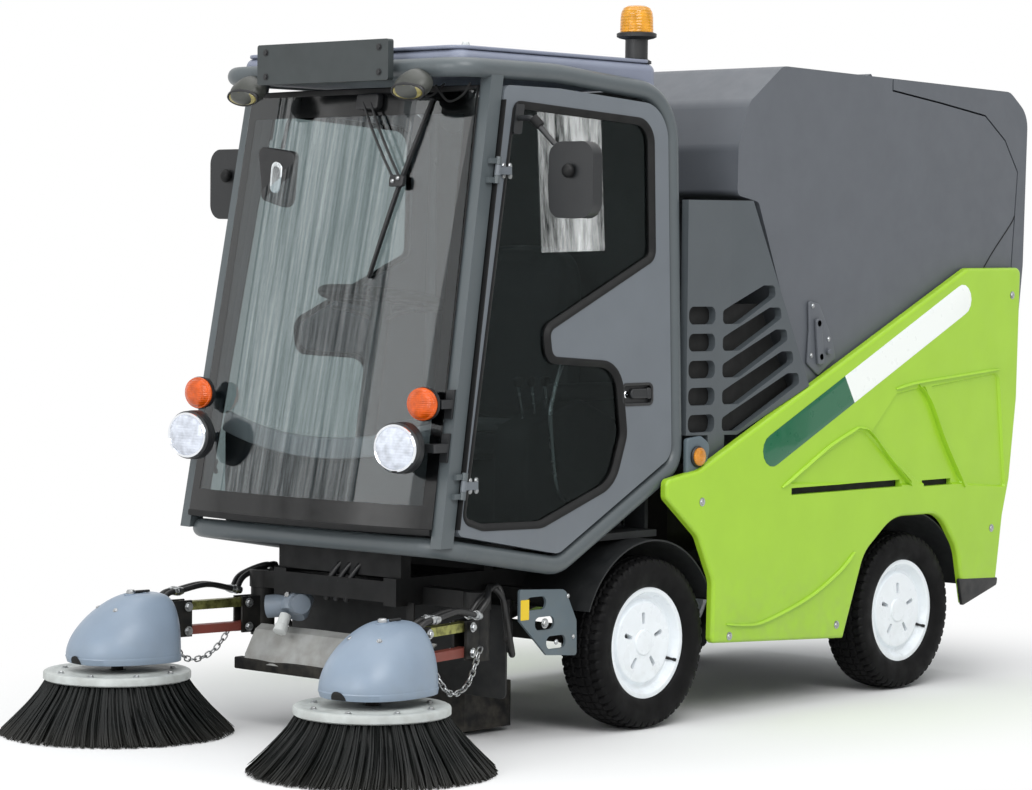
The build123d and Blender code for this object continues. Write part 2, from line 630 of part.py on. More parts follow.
def make_steering_wheel():
    """Ring, spokes and hub, square to the column."""
    ring = Torus(STEERING_RADIUS, STEERING_GRIP)
    spokes = fused([Box(2 * STEERING_RADIUS, 30, 12), Box(30, 2 * STEERING_RADIUS, 12), Cylinder(40, 24)])
    wheel = Pos(0, 0, 12.5) * (ring + spokes)
    return Pos(*COLUMN_HEAD) * Rot(-COLUMN_LEAN, 0, 0) * wheel


def make_dashboard():
    """Console below the screen, with a hollowed top edge and a slot for the column."""
    y = (-1068, -992)
    face = outline([(-430, FLOOR_TOP), (430, FLOOR_TOP), (430, 890, 10), (200, 820, 120), (-200, 820, 120),
                    (-430, 890, 10)])
    return extrude(Plane.XZ.offset(-y[1]) * face, y[1] - y[0])


def make_seat_base():
    return block((-210, 210), (-560, -230), (FLOOR_TOP, SEAT_Z))


def make_cushions():
    seat = fillet(block((-235, 235), (-670, -200), (SEAT_Z + FIT, SEAT_Z + CUSHION_THICK)).edges(), 20)
    back = fillet(block((-225, 225), (-292, -190), (SEAT_Z + CUSHION_THICK + FIT, 1430)).edges(), 20)
    return apart([seat, back])


save("cab_frame", make_cab_frame())
save_pair("door", leaned(make_door()))
save_pair("door_glass", leaned(make_door_glass()))
save("windscreen", make_screen())
save("cab_floor", block((-FLOOR_HALF, FLOOR_HALF), (-1085, HOOP_REAR_Y - HOOP_RADIUS - FIT),
                        (FLOOR_UNDER, FLOOR_TOP)))
save("cab_rear_wall", block((-WALL_HALF, WALL_HALF), (HOOP_REAR_Y - HOOP_RADIUS - FIT - WALL_THICK,
                                                      HOOP_REAR_Y - HOOP_RADIUS - FIT),
                            (FLOOR_TOP, HOOP_ROOF_Z - 27)))
save("cab_roof", make_roof())
save("dashboard", make_dashboard())
save("seat_base", make_seat_base())
save("seat_cushions", make_cushions())
save("steering_column", make_column())
save("steering_wheel", make_steering_wheel())


# ---- Lamps, board and mirrors --------------------------------------------------------------------
def lamp_bracket(x, y, z, depth):
    """Angle strip from the post's front face to the back of a lamp."""
    face_y = post_y(z) - POST_DEPTH / 2
    outer = side_x(z) + 14
    inner = side_x(z) - 14
    strip = plate_z([(inner, face_y + 3), (outer, face_y + 3), (outer, y, 6), (x - 10, y),
                     (x - 10, y + depth), (inner, y + depth)], z - 12, z + 12)
    foot = plate_x([(post_y(z - 40) - POST_DEPTH / 2 - FIT, z - 40),
                    (post_y(z + 40) - POST_DEPTH / 2 - FIT, z + 40),
                    (post_y(z + 40) - POST_DEPTH / 2 - 8, z + 40),
                    (post_y(z - 40) - POST_DEPTH / 2 - 8, z - 40)],
                   -14, 14)
    cut = plate_x([(post_y(z - 60) - POST_DEPTH / 2 - FIT, z - 60),
                   (post_y(z + 60) - POST_DEPTH / 2 - FIT, z + 60),
                   (post_y(z + 60) + 60, z + 60), (post_y(z - 60) + 60, z - 60)], -60, 60)
    return strip - leaned(cut) + leaned(foot)


def make_lamp_brackets():
    """Black housings of headlamp and indicator, each on its bracket."""
    x, y, z = HEADLAMP
    pod = revolve(Plane.XY * outline([(50, -2, 20), (HEADLAMP_RADIUS + 4, -26, 10),
                                      (HEADLAMP_RADIUS + 4, -50),
                                      (0, -50), (0, 0)]), Axis.Y)
    head = Pos(x, y, z) * pod + lamp_bracket(x, y - 8, z, 20)
    ix, iy, iz = INDICATOR
    base = rod((ix, iy, iz), (ix, iy - 16, iz), INDICATOR_RADIUS - 4)
    side = base + lamp_bracket(ix, iy - 8, iz, 20)
    pieces = [head, side]
    return apart(pieces + [mirrored(piece) for piece in pieces])


def make_headlamps():
    """Chromed bowls with domed lenses."""
    x, y, z = HEADLAMP
    front = -50 - FIT
    bowl = revolve(Plane.XY * outline([(0, front), (HEADLAMP_RADIUS, front), (HEADLAMP_RADIUS, front - 16, 5),
                                       (HEADLAMP_RADIUS - 8, front - 22, 3), (0, front - 30)]), Axis.Y)
    lamp = Pos(x, y, z) * bowl
    return apart([lamp, mirrored(lamp)])


def make_indicators():
    x, y, z = INDICATOR
    front = -16 - FIT
    lens = revolve(Plane.XY * outline([(0, front), (INDICATOR_RADIUS, front),
                                       (INDICATOR_RADIUS, front - 12, 5),
                                       (INDICATOR_RADIUS - 14, front - 26, 8), (0, front - 30)]), Axis.Y)
    lamp = Pos(x, y, z) * lens
    return apart([lamp, mirrored(lamp)])


def make_work_lamps():
    """Oval lamps seated against the front roof tube."""
    back = HOOP_FRONT_Y - HOOP_RADIUS - FIT
    lamp = extrude(Plane.XZ.offset(-back) * Pos(WORK_LAMP_X, WORK_LAMP_Z) * Ellipse(70, 50), 56)
    lamp = fillet(lamp.faces().sort_by(Axis.Y)[0].edges(), 18)
    return apart([lamp, mirrored(lamp)])


def make_board():
    """Blank board in front of the roof, on two straps from the roof tube."""
    back = HOOP_FRONT_Y - HOOP_RADIUS - FIT
    board = plate_y([(-BOARD_HALF, 1892, 8), (BOARD_HALF, 1892, 8), (BOARD_HALF, 2008, 8),
                     (-BOARD_HALF, 2008, 8)], BOARD_Y, BOARD_Y + BOARD_THICK)
    for x in (-150, 150):
        board = board + block((x - 20, x + 20), (BOARD_Y + 5, back), (HOOP_ROOF_Z - 6, HOOP_ROOF_Z + 6))
    for x in (-BOARD_BOLT_X / 2, BOARD_BOLT_X / 2):
        for z in (1950 - BOARD_BOLT_Z / 2, 1950 + BOARD_BOLT_Z / 2):
            board = board - rod((x, BOARD_Y - 5, z), (x, BOARD_Y + BOARD_THICK + 5, z), BOARD_BOLT_RADIUS)
    return board


def make_beacon():
    """Round base, stem and lens."""
    flange = BEACON_TOP - BEACON_LENS
    profile = [(0, ROOF_TOP + FIT), (45, ROOF_TOP + FIT, 2), (45, ROOF_TOP + 10, 2), (34, ROOF_TOP + 14),
               (34, flange - 20), (62, flange - 16, 3), (62, flange - 4, 3), (50, flange),
               (48, BEACON_TOP - 24, 14), (30, BEACON_TOP, 10), (0, BEACON_TOP)]
    return Pos(*BEACON, 0) * revolve(Plane.XZ * outline(profile), Axis.Z)


def make_mirror():
    """Rounded mirror head on a bent arm from a pad on the door."""
    middle = CAB_HALF + 186
    head = plate_y([(middle - 82, 1508, 45), (middle + 82, 1508, 45), (middle + 82, 1722, 45),
                    (middle - 82, 1722, 45)], -816, -776)
    outer = DOOR_INNER + DOOR_THICK + FIT
    pad = leaned(plate_x([(-850, 1745, 6), (-815, 1745, 6), (-800, 1830, 6), (-835, 1830, 6)],
                         outer, outer + 8))
    arm = tube([(CAB_HALF - 4, -826, 1790), (CAB_HALF + 48, -826, 1790), (CAB_HALF + 128, -796, 1700),
                (middle, -796, 1640)], 8, [30, 60])
    return fused([head, pad, arm])


save("roof_board", make_board())
save("lamp_brackets", make_lamp_brackets())
save("headlamps", make_headlamps())
save("indicators", make_indicators())
save("work_lamps", make_work_lamps())
save("beacon", make_beacon())
save_pair("mirror", make_mirror())


# ---- Body panels ---------------------------------------------------------------------------------
# Points ahead of the rear wheel's arch keep their place; those over and behind it follow the axle.


def make_body_panel():
    """Moulded side panel with its wheel arch, relief fields and vent slots."""
    panel = plate_x([(8, 237, 20), (12, 424, 60), (-60, 564, 60), (-214, 686, 20), (-214, 742, 20),
                     (-59, 765, 60), (REAR_AXLE_Y + 299, 1377, 60), (REAR_AXLE_Y + 618, 1380, 24),
                     (REAR_AXLE_Y + 605, 938, 200), (REAR_AXLE_Y + 567, 664, 90),
                     (REAR_AXLE_Y + 530, 544, 60), (REAR_AXLE_Y + 492, 312, 24),
                     (REAR_AXLE_Y + 290, 256), (700, 198)], PANEL_INNER, BODY_HALF)
    arch = [(REAR_AXLE_Y + ARCH_RADIUS * p[0], AXLE_Z + ARCH_RADIUS * p[1], *p[2:]) for p in ARCH_POINTS]
    panel = panel - plate_x(arch, 0, 2 * BODY_HALF)
    panel = fillet(panel.faces().sort_by(Axis.X)[-1].outer_wire().edges(), PANEL_EDGE)
    for relief in RELIEFS:
        panel = panel - extrude(Plane.YZ.offset(BODY_HALF) * outline(relief), -RELIEF_DEPTH,
                                taper=RELIEF_SLOPE)
    for y, z in (((395, REAR_AXLE_Y - 65), (668, 690)), ((REAR_AXLE_Y + 60, REAR_AXLE_Y + 225), (662, 682))):
        panel = panel - block((PANEL_INNER - 5, BODY_HALF + 5), y, z)
    return panel


def make_liners():
    """Black inner arches over the four wheels."""
    front = FLOOR_UNDER - FIT - AXLE_Z
    pieces = [ring_sector(front, LINER_WALL, 22, 158, (LINER_INNER_X, PANEL_INNER - FIT),
                          (FRONT_AXLE_Y, AXLE_Z)),
              ring_sector(ARCH_RADIUS + LINER_WALL, LINER_WALL, 12, 168, (LINER_INNER_X, PANEL_INNER - FIT),
                          (REAR_AXLE_Y, AXLE_Z))]
    return apart(pieces + [mirrored(piece) for piece in pieces])


save("body_panels", apart([make_body_panel(), mirrored(make_body_panel())]))
save("wheel_arch_liners", make_liners())


# ---- Hopper --------------------------------------------------------------------------------------
def make_hopper():
    """Hollow bin and the lid that closes its top rear and rear."""
    whole = plate_x(HOPPER_OUTLINE, -HOPPER_HALF, HOPPER_HALF)
    inner_half = HOPPER_HALF - HOPPER_WALL
    inner_face = offset(outline(HOPPER_OUTLINE), amount=-HOPPER_WALL)
    shell = whole - extrude(Plane.YZ.offset(-inner_half) * inner_face, 2 * inner_half)
    reach = HOPPER_HALF + 5
    lid = shell & plate_x(LID_SEAM, -reach, reach)
    grown = extrude(Plane.YZ.offset(-reach) * offset(outline(LID_SEAM), amount=MOVE_GAP), 2 * reach)
    return shell - grown, lid


def make_hopper_lug():
    return plate_x([(HOPPER_PIVOT_Y - 32, HOPPER_FLOOR_Z + 2), (HOPPER_PIVOT_Y + 32, HOPPER_FLOOR_Z + 2),
                    (HOPPER_PIVOT_Y + 24, HOPPER_PIVOT_Z - 24, 20),
                    (HOPPER_PIVOT_Y - 24, HOPPER_PIVOT_Z - 24, 20)], 161, 179)


bin_shell, lid = make_hopper()
lug = make_hopper_lug() - bar_x((0, 400), HOPPER_PIVOT_Y, HOPPER_PIVOT_Z, HOPPER_PIN + RUN)
bin_shell = bin_shell + lug + mirrored(lug)
for x in (-380, 0, 380):
    bin_shell = bin_shell + bar_x((x - 60, x + 60), LID_HINGE_Y, LID_HINGE_Z, LID_PIN)
    for side in (-1, 1):
        ends = (x + side * 21, x + side * 60)
        bin_shell = bin_shell + bar_x(ends, LID_HINGE_Y, LID_HINGE_Z, HINGE_RADIUS)
        bin_shell = bin_shell + block(ends, (LID_HINGE_Y - 40, LID_HINGE_Y),
                                      (LID_HINGE_Z - 14, LID_HINGE_Z - 2))
    strap = block((x - 20, x + 20), (LID_HINGE_Y, LID_HINGE_Y + 40), (LID_HINGE_Z - 16, LID_HINGE_Z - 2))
    strap = strap + bar_x((x - 20, x + 20), LID_HINGE_Y, LID_HINGE_Z, HINGE_RADIUS)
    lid = lid + strap - bar_x((x - 20, x + 20), LID_HINGE_Y, LID_HINGE_Z, LID_PIN + RUN)
save("hopper", bin_shell)
save("hopper_lid", lid)


# ---- Intake grilles beside the hopper ------------------------------------------------------------
def make_grille():
    """Folded panel with rows of holes and slots that turn up along the side panel's edge, on a tab
    that reaches down to the side panel's inner face."""
    side_outline = [(-84, 868), (159, 863), (488, 1006), (222, 1578), (-84, 1575)]
    front, rear = PANEL_INNER - 11, BODY_HALF - 6
    plan = [(front - 25, -84), (front, -84), (front, 125), (rear, 490), (HOPPER_HALF + 4, 490),
            (front - 25, 130)]
    grille = plate_x(side_outline, front - 50, BODY_HALF + 30) & plate_z(plan, 700, 1700)
    grille = grille + block((front - 25, front), (20, 100), (785, 880))
    grille = grille + block((front, PANEL_INNER), (30, 90), (785, 800))
    for row in range(GRILLE_ROWS):
        z = GRILLE_TOP - GRILLE_PITCH * row
        grille = grille - plate_x([(-76, z - 27, 22), (51, z - 27, 22), (51, z + 27, 22), (-76, z + 27, 22)],
                                  front - 60, BODY_HALF + 60)
        end, rise = 328 + 28.5 * row, z + 74 + 13.5 * row
        grille = grille - plate_x([(88, z - 27, 16), (165, z - 27, 30), (end, rise - 16, 14),
                                   (end - 6, rise + 17, 12), (end - 56, rise + 17, 12), (120, z + 27, 12),
                                   (88, z + 14, 14)], front - 60, BODY_HALF + 60)
    return grille


save("intake_grilles", apart([make_grille(), mirrored(make_grille())]))


# ---- Sweeping gear -------------------------------------------------------------------------------
def on_arm(shape):
    """Places a piece drawn along +X from the swing pin onto the left brush arm."""
    return Pos(SWING_X, SWING_Y, 0) * Rot(0, 0, ARM_ANGLE) * shape


def make_swing():
    """Sleeve on the swing pin, with cheeks for the two links."""
    top = RAIL_LOW - 1
    sleeve = rod((0, 0, LINK_LOW_Z - 30), (0, 0, top), 36)
    gap = LINK_HALF + 1
    cheeks = [block((15, LINK_REAR + 18), (side * gap, side * (gap + CHEEK)),
                    (LINK_LOW_Z - 18, LINK_HIGH_Z + 18))
              for side in (-1, 1)]
    pins = [rod((LINK_REAR, -gap - CHEEK, z), (LINK_REAR, gap + CHEEK, z), LINK_PIN)
            for z in (LINK_LOW_Z, LINK_HIGH_Z)]
    return fused([sleeve] + cheeks + pins) - rod((0, 0, 100), (0, 0, 600), SWING_PIN + RUN)


def make_link(z, play):
    """Flat channel with an eye at each end."""
    link = block((LINK_REAR, LINK_FRONT), (-LINK_HALF, LINK_HALF), (z - 13, z + 13))
    for x in (LINK_REAR, LINK_FRONT):
        link = link + rod((x, -LINK_HALF, z), (x, LINK_HALF, z), 15)
    link = link - rod((LINK_REAR, -50, z), (LINK_REAR, 50, z), LINK_PIN + RUN)
    return link - rod((LINK_FRONT, -50, z), (LINK_FRONT, 50, z), LINK_PIN + play)


def make_head():
    """Carrier with the sweep motor, held by both links."""
    gap = LINK_HALF + 1
    cheeks = [block((LINK_FRONT - 18, LINK_FRONT + 45), (side * gap, side * (gap + CHEEK)),
                    (LINK_LOW_Z - 18, LINK_HIGH_Z + 18)) for side in (-1, 1)]
    pins = [rod((LINK_FRONT, -gap - CHEEK, z), (LINK_FRONT, gap + CHEEK, z), LINK_PIN)
            for z in (LINK_LOW_Z, LINK_HIGH_Z)]
    bridge = block((LINK_FRONT + 25, ARM_LENGTH), (-gap - CHEEK, gap + CHEEK),
                   (LINK_LOW_Z - 18, LINK_LOW_Z + 40))
    motor = rod((ARM_LENGTH - 10, 0, COVER_BASE + 5), (ARM_LENGTH - 10, 0, 335), 50)
    shaft = rod((ARM_LENGTH, 0, BRISTLE_TOP + 2), (ARM_LENGTH, 0, 300), SHAFT_RADIUS)
    stud = rod((LINK_FRONT + 111, 0, LINK_LOW_Z + 35), (LINK_FRONT + 111, 0, COVER_TOP - COVER_WALL - FIT), 9)
    neck = rod((ARM_LENGTH, 0, COVER_BASE - 12), (ARM_LENGTH, 0, COVER_BASE + 10), 40)
    return fused(cheeks + pins + [bridge, motor, shaft, stud, neck])


def cover_ring(z, nose, half, tail):
    """Closed curve of the cover at one height: round ahead, squarer towards the arm."""
    middle = 0.56 * tail + 0.44 * nose
    points = []
    for step in range(28):
        turn = 2 * pi * (step + 0.5) / 28
        ahead = cos(turn) > 0
        along = abs(cos(turn)) ** (0.9 if ahead else 0.6) * (nose - middle if ahead else tail - middle)
        across = abs(sin(turn)) ** 0.84 * half
        points.append((LINK_FRONT + middle + along, across if sin(turn) > 0 else -across, z))
    return Wire([Edge.make_spline([Vector(*point) for point in points], periodic=True)])


def cover_form(inset):
    """Solid helmet: upright at the tail, sloping down to a round nose."""
    base = COVER_BASE - (1 if inset else 0)
    rise = COVER_TOP - inset - base
    rings = [cover_ring(base + rise * level, reach - inset, half - inset, COVER_TAIL + lean + inset)
             for level, reach, half, lean in COVER_RINGS]
    return Solid.make_loft(rings)


def make_cover():
    """Thin helmet over the sweep motor, open below, where the links enter and over the adjuster."""
    cover = cover_form(0) - cover_form(COVER_WALL)
    mouth = block((LINK_FRONT, LINK_FRONT + 70), (-32, 32), (COVER_BASE - 10, LINK_LOW_Z + 50))
    slot = plate_z([(LINK_FRONT + 128, -18, 17), (LINK_FRONT + 200, -18, 17), (LINK_FRONT + 200, 18, 17),
                    (LINK_FRONT + 128, 18, 17)], COVER_TOP - 40, COVER_TOP + 20)
    return cover - mouth - slot


def make_brush():
    """Brush plate and its flared ring of bristles."""
    top = BRISTLE_TOP + 26
    section = [(SHAFT_RADIUS + RUN, BRISTLE_TOP), (SHAFT_RADIUS + RUN, top), (PLATE_RADIUS, top, 6),
               (PLATE_RADIUS, BRISTLE_TOP + 4), (BRISTLE_FLARE - 45, 60, 120), (BRISTLE_FLARE, 0),
               (BRISTLE_FLARE - 70, 0), (PLATE_RADIUS - 60, BRISTLE_TOP)]
    return Pos(ARM_LENGTH, 0, 0) * revolve(Plane.XZ * outline(section), Axis.Z)


save_pair("brush_swing", on_arm(make_swing()))
save_pair("brush_link_upper", on_arm(make_link(LINK_HIGH_Z, RUN)))
save_pair("brush_link_lower", on_arm(make_link(LINK_LOW_Z, 1)))
save_pair("brush_head", on_arm(make_head()))
save_pair("brush_cover", on_arm(make_cover()))
save_pair("brush", on_arm(make_brush()))


# ---- Suction nozzle, duct and rear bumper --------------------------------------------------------
def make_nozzle():
    """Wide mouth near the ground with a duct that rises behind the cab."""
    mouth = block((-NOZZLE_HALF, NOZZLE_HALF), (-760, -560), (15, 150))
    mouth = mouth - block((-NOZZLE_HALF + 20, NOZZLE_HALF - 20), (-740, -580), (10, 130))
    duct = tube([(0, -660, 140), (0, -660, 285), (0, 35, 460), (0, 35, 1140), (0, 377, 1286)], DUCT_RADIUS,
                [100, 110, 110])
    return mouth + duct


save("suction_nozzle", make_nozzle())
save("rear_bumper", block((-520, 520), (RAIL_REAR_Y, RAIL_REAR_Y + 32), (300, 640)))


def make_tail_lamps():
    lamp = plate_y([(380, 440, 10), (500, 440, 10), (500, 560, 10), (380, 560, 10)], RAIL_REAR_Y + 32,
                   RAIL_REAR_Y + 50)
    return apart([lamp, mirrored(lamp)])


save("tail_lamps", make_tail_lamps())
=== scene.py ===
"""Dresses the compact street sweeper: finishes for its solids, and the tyres, bristles, trim,
cab fittings, hoses and studio round them."""

import math

import bmesh
import bpy
import numpy as np
from mathutils import Matrix


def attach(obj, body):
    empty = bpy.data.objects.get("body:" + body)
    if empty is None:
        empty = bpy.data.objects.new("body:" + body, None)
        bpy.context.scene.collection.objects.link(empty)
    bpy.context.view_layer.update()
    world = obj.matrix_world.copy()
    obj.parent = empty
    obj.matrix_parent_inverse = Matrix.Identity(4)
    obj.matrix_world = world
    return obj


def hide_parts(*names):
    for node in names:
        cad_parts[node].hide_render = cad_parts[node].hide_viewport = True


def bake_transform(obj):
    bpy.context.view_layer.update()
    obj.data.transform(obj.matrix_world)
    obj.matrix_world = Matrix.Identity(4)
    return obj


bl_info = {
    "name": "Street sweeper finishes",
    "version": (1, 0, 0),
    "blender": (4, 5, 0),
    "location": "3D View > Sidebar > Sweeper",
    "description": "Builds the finishes, trim and studio of a compact street sweeper",
    "category": "Object",
}

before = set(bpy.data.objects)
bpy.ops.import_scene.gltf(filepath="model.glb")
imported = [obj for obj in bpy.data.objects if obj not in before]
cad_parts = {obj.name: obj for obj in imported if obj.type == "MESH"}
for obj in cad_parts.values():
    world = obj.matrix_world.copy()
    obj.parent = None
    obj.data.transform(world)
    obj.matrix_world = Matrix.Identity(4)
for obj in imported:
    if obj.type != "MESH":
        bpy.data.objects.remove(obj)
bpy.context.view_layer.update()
SIDES = (("left", 1.0), ("right", -1.0))
LEFT, AHEAD, UP = (1, 0, 0), (0, -1, 0), (0, 0, 1)

# The cab's flat sides lean in towards the roof from the sill.
CAB_HALF, CAB_LEAN, SILL_Z = 0.512, math.radians(1.6), 0.600
CAB_NORMAL = (math.cos(CAB_LEAN), 0, math.sin(CAB_LEAN))
# The front posts lean back from foot to head, each (Y, Z).
POST_FOOT, POST_HEAD = (-1.130, 0.600), (-0.898, 1.915)


def linear(code):
    """A linear colour from a hex code of the usual display colours."""
    parts = np.array([int(code[i:i + 2], 16) for i in (1, 3, 5)]) / 255
    return tuple(np.where(parts <= 0.04045, parts / 12.92, ((parts + 0.055) / 1.055) ** 2.4)) + (1.0,)


# ---- Shapes: every surface is worked out as whole arrays -----------------------------------------
def unit(vector):
    """Vectors of length 1 in the same directions."""
    vector = np.asarray(vector, float)
    return vector / np.linalg.norm(vector, axis=-1, keepdims=True)


def grid(points, wrap_u=False, wrap_v=False):
    """A sheet through rows u and columns v of points, joined end to end where it wraps."""
    rows, columns = points.shape[:2]
    index = np.arange(rows * columns).reshape(rows, columns)
    if wrap_u:
        index = np.vstack([index, index[:1]])
    if wrap_v:
        index = np.hstack([index, index[:, :1]])
    faces = np.stack([index[:-1, :-1], index[:-1, 1:], index[1:, 1:], index[1:, :-1]], -1)
    return points.reshape(-1, 3), faces.reshape(-1, 4)


def frame_of(axis):
    """Two directions square to an axis and to each other."""
    axis = unit(axis)
    helper = np.array([0.0, 0, 1]) if abs(axis[2]) < 0.9 else np.array([0.0, 1, 0])
    side = unit(np.cross(axis, helper))
    return side, np.cross(side, axis)


def turned(profile, origin, axis, steps=48, phase=0.0):
    """origin + height * axis + distance * (cos a, sin a) about it, for (distance, height) pairs."""
    profile = np.asarray(profile, float)
    side, other = frame_of(axis)
    angle = np.linspace(0, 2 * np.pi, steps, endpoint=False) + phase
    ring = np.cos(angle)[:, None] * side + np.sin(angle)[:, None] * other
    points = (np.asarray(origin, float) + profile[None, :, 1, None] * unit(axis)
              + profile[None, :, 0, None] * ring[:, None, :])
    return grid(points, wrap_u=True)


def circle(radius, steps):
    """A round section."""
    angle = np.linspace(0, 2 * np.pi, steps, endpoint=False)
    return np.stack([radius * np.cos(angle), radius * np.sin(angle)], -1)


def carried(path, section, up=(0, 0, 1), closed=False, scale=None):
    """path + x * side + y * lift, for a section's (x, y), with side square to the path and up."""
    path = np.asarray(path, float)
    section = np.asarray(section, float)
    scale = np.ones(len(path)) if scale is None else np.asarray(scale, float)
    if closed:
        tangent = unit(np.roll(path, -1, 0) - np.roll(path, 1, 0))
    else:
        tangent = unit(np.gradient(path, axis=0))
    side = unit(np.cross(tangent, np.asarray(up, float)))
    lift = np.cross(side, tangent)
    if not closed:
        path = np.concatenate([path[:1], path, path[-1:]])
        side, lift = (np.concatenate([a[:1], a, a[-1:]]) for a in (side, lift))
        scale = np.concatenate([[0], scale, [0]])
    points = (path[:, None] + scale[:, None, None] * (section[None, :, :1] * side[:, None]
                                                      + section[None, :, 1:] * lift[:, None]))
    return grid(points, wrap_u=closed, wrap_v=True)


def through(points, count=32):
    """A smooth line through points: cubic pieces whose slope at a point joins its neighbours."""
    points = np.asarray(points, float)
    padded = np.concatenate([2 * points[:1] - points[1:2], points, 2 * points[-1:] - points[-2:-1]])
    place = np.linspace(0, len(points) - 1 - 1e-9, count)
    start = place.astype(int)
    t = (place - start)[:, None]
    a, b, c, d = (padded[start + k] for k in range(4))
    return 0.5 * (2 * b + (c - a) * t + (2 * a - 5 * b + 4 * c - d) * t ** 2
                  + (3 * b - a - 3 * c + d) * t ** 3)


def rounded(corners, steps=6):
    """A closed outline: each corner (x, y, radius) becomes an arc that touches its two sides."""
    flat = np.array([c[:2] for c in corners], float)
    before, after = unit(np.roll(flat, 1, 0) - flat), unit(np.roll(flat, -1, 0) - flat)
    half = np.arccos(np.clip((before * after).sum(1), -1, 1)) / 2
    radius = np.array([c[2] if len(c) > 2 else 0.0 for c in corners])
    reach = radius / np.tan(half)
    centre = flat + unit(before + after) * (radius / np.sin(half))[:, None]
    first, last = flat + before * reach[:, None], flat + after * reach[:, None]
    share = np.linspace(0, 1, steps)[None, :, None]
    line = first[:, None] * (1 - share) + last[:, None] * share - centre[:, None]
    arc = centre[:, None] + unit(line + 1e-12) * radius[:, None, None]
    return arc.reshape(-1, 2)


def box_outline(width, height, radius, centre=(0, 0), steps=5):
    """A rectangle with rounded corners."""
    w, h, (x, y) = width / 2, height / 2, centre
    return rounded([(x - w, y - h, radius), (x + w, y - h, radius), (x + w, y + h, radius),
                    (x - w, y + h, radius)], steps)


def resampled(outline, count):
    """The same closed outline with evenly spaced points."""
    loop = np.vstack([outline, outline[:1]])
    run = np.concatenate([[0], np.cumsum(np.linalg.norm(np.diff(loop, axis=0), axis=1))])
    place = np.linspace(0, run[-1], count, endpoint=False)
    return np.stack([np.interp(place, run, loop[:, k]) for k in (0, 1)], -1)


def inward(outline):
    """Directions into a closed outline, square to it."""
    tangent = unit(np.roll(outline, -1, 0) - np.roll(outline, 1, 0) + 1e-12)
    normal = np.stack([-tangent[:, 1], tangent[:, 0]], -1)
    area = np.sum(outline[:, 0] * np.roll(outline[:, 1], -1) - outline[:, 1] * np.roll(outline[:, 0], -1))
    return normal * np.sign(area)


def slab(outline, low, high, edge, place):
    """Loops of an outline from one face's middle over a quarter-round edge to the other's."""
    outline = np.asarray(outline, float)
    into, middle = inward(outline), outline.mean(0)
    turn = np.linspace(0, np.pi / 2, 4)
    inset = np.concatenate([edge * (1 - np.sin(turn)), edge * (1 - np.cos(turn))])
    level = np.concatenate([low + edge * (1 - np.cos(turn)), high - edge * (1 - np.sin(turn))])
    loops = outline[None] + inset[:, None, None] * into[None]
    heights = np.repeat(level[:, None], len(outline), 1)
    inner = middle + (loops[-1] - middle) * np.array([0.7, 0.35, 0.0])[:, None, None]
    under = middle + (loops[0] - middle) * np.array([0.0, 0.5])[:, None, None]
    loops = np.concatenate([under, loops, inner])
    heights = np.concatenate([np.full((2, len(outline)), low), heights, np.full((3, len(outline)), high)])
    x, y, z = place(loops[..., 0], loops[..., 1], heights)
    return grid(np.stack([x, y, z], -1), wrap_v=True)


def rim_of(outline, section, place):
    """A section carried round a closed outline that lies in a placed plane."""
    outline = np.asarray(outline, float)
    into = inward(outline)
    section = np.asarray(section, float)
    flat = outline[:, None] + section[None, :, :1] * into[:, None]
    level = np.repeat(section[None, :, 1], len(outline), 0)
    x, y, z = place(flat[..., 0], flat[..., 1], level)
    return grid(np.stack([x, y, z], -1), wrap_u=True, wrap_v=True)


def cab_side(y, z, u):
    """A point of the left side's leaning plane, u outward of the tube's middle."""
    rise = z - SILL_Z
    return (CAB_HALF + u * math.cos(CAB_LEAN) - rise * math.sin(CAB_LEAN), y + 0 * u,
            SILL_Z + u * math.sin(CAB_LEAN) + rise * math.cos(CAB_LEAN))


def facing_x(y, z, x):
    """Places for an outline (Y, Z) at a distance out from the middle plane."""
    return x + 0 * y, y + 0 * x, z + 0 * x


def facing_front(x, z, y):
    """Places for an outline (X, Z) at a distance ahead."""
    return x + 0 * y, -y + 0 * x, z + 0 * x


def facing_rear(face):
    """Places for an outline (X, Z) at a height behind a face's own Y."""
    return lambda x, z, height: (x + 0 * z, face + height, z + 0 * x)


def facing_up(x, y, z):
    """Places for an outline (X, Y) at a height."""
    return x + 0 * z, y + 0 * z, z + 0 * x


def post_y(z):
    """Where the middle of the front posts stands at a height."""
    share = (z - POST_FOOT[1]) / (POST_HEAD[1] - POST_FOOT[1])
    return POST_FOOT[0] + (POST_HEAD[0] - POST_FOOT[0]) * share


def bolt(centre, axis, radius, height):
    """A hexagon head with a chamfer over a round washer."""
    washer = turned([(0, 0), (1.35 * radius, 0), (1.35 * radius, 0.0015), (0, 0.0015)], centre, axis, 16)
    head = turned([(0, 0.001), (radius, 0.001), (radius, 0.8 * height), (0.85 * radius, height),
                   (0, height)], centre, axis, 6)
    return [washer, head]


def bolts(spots, axis, radius, height):
    """The same bolt at several places."""
    return [part for spot in spots for part in bolt(spot, axis, radius, height)]


def flipped(surface):
    """The same surface on the machine's other side."""
    points, faces = surface
    return points * np.array([-1.0, 1, 1]), faces[:, ::-1]


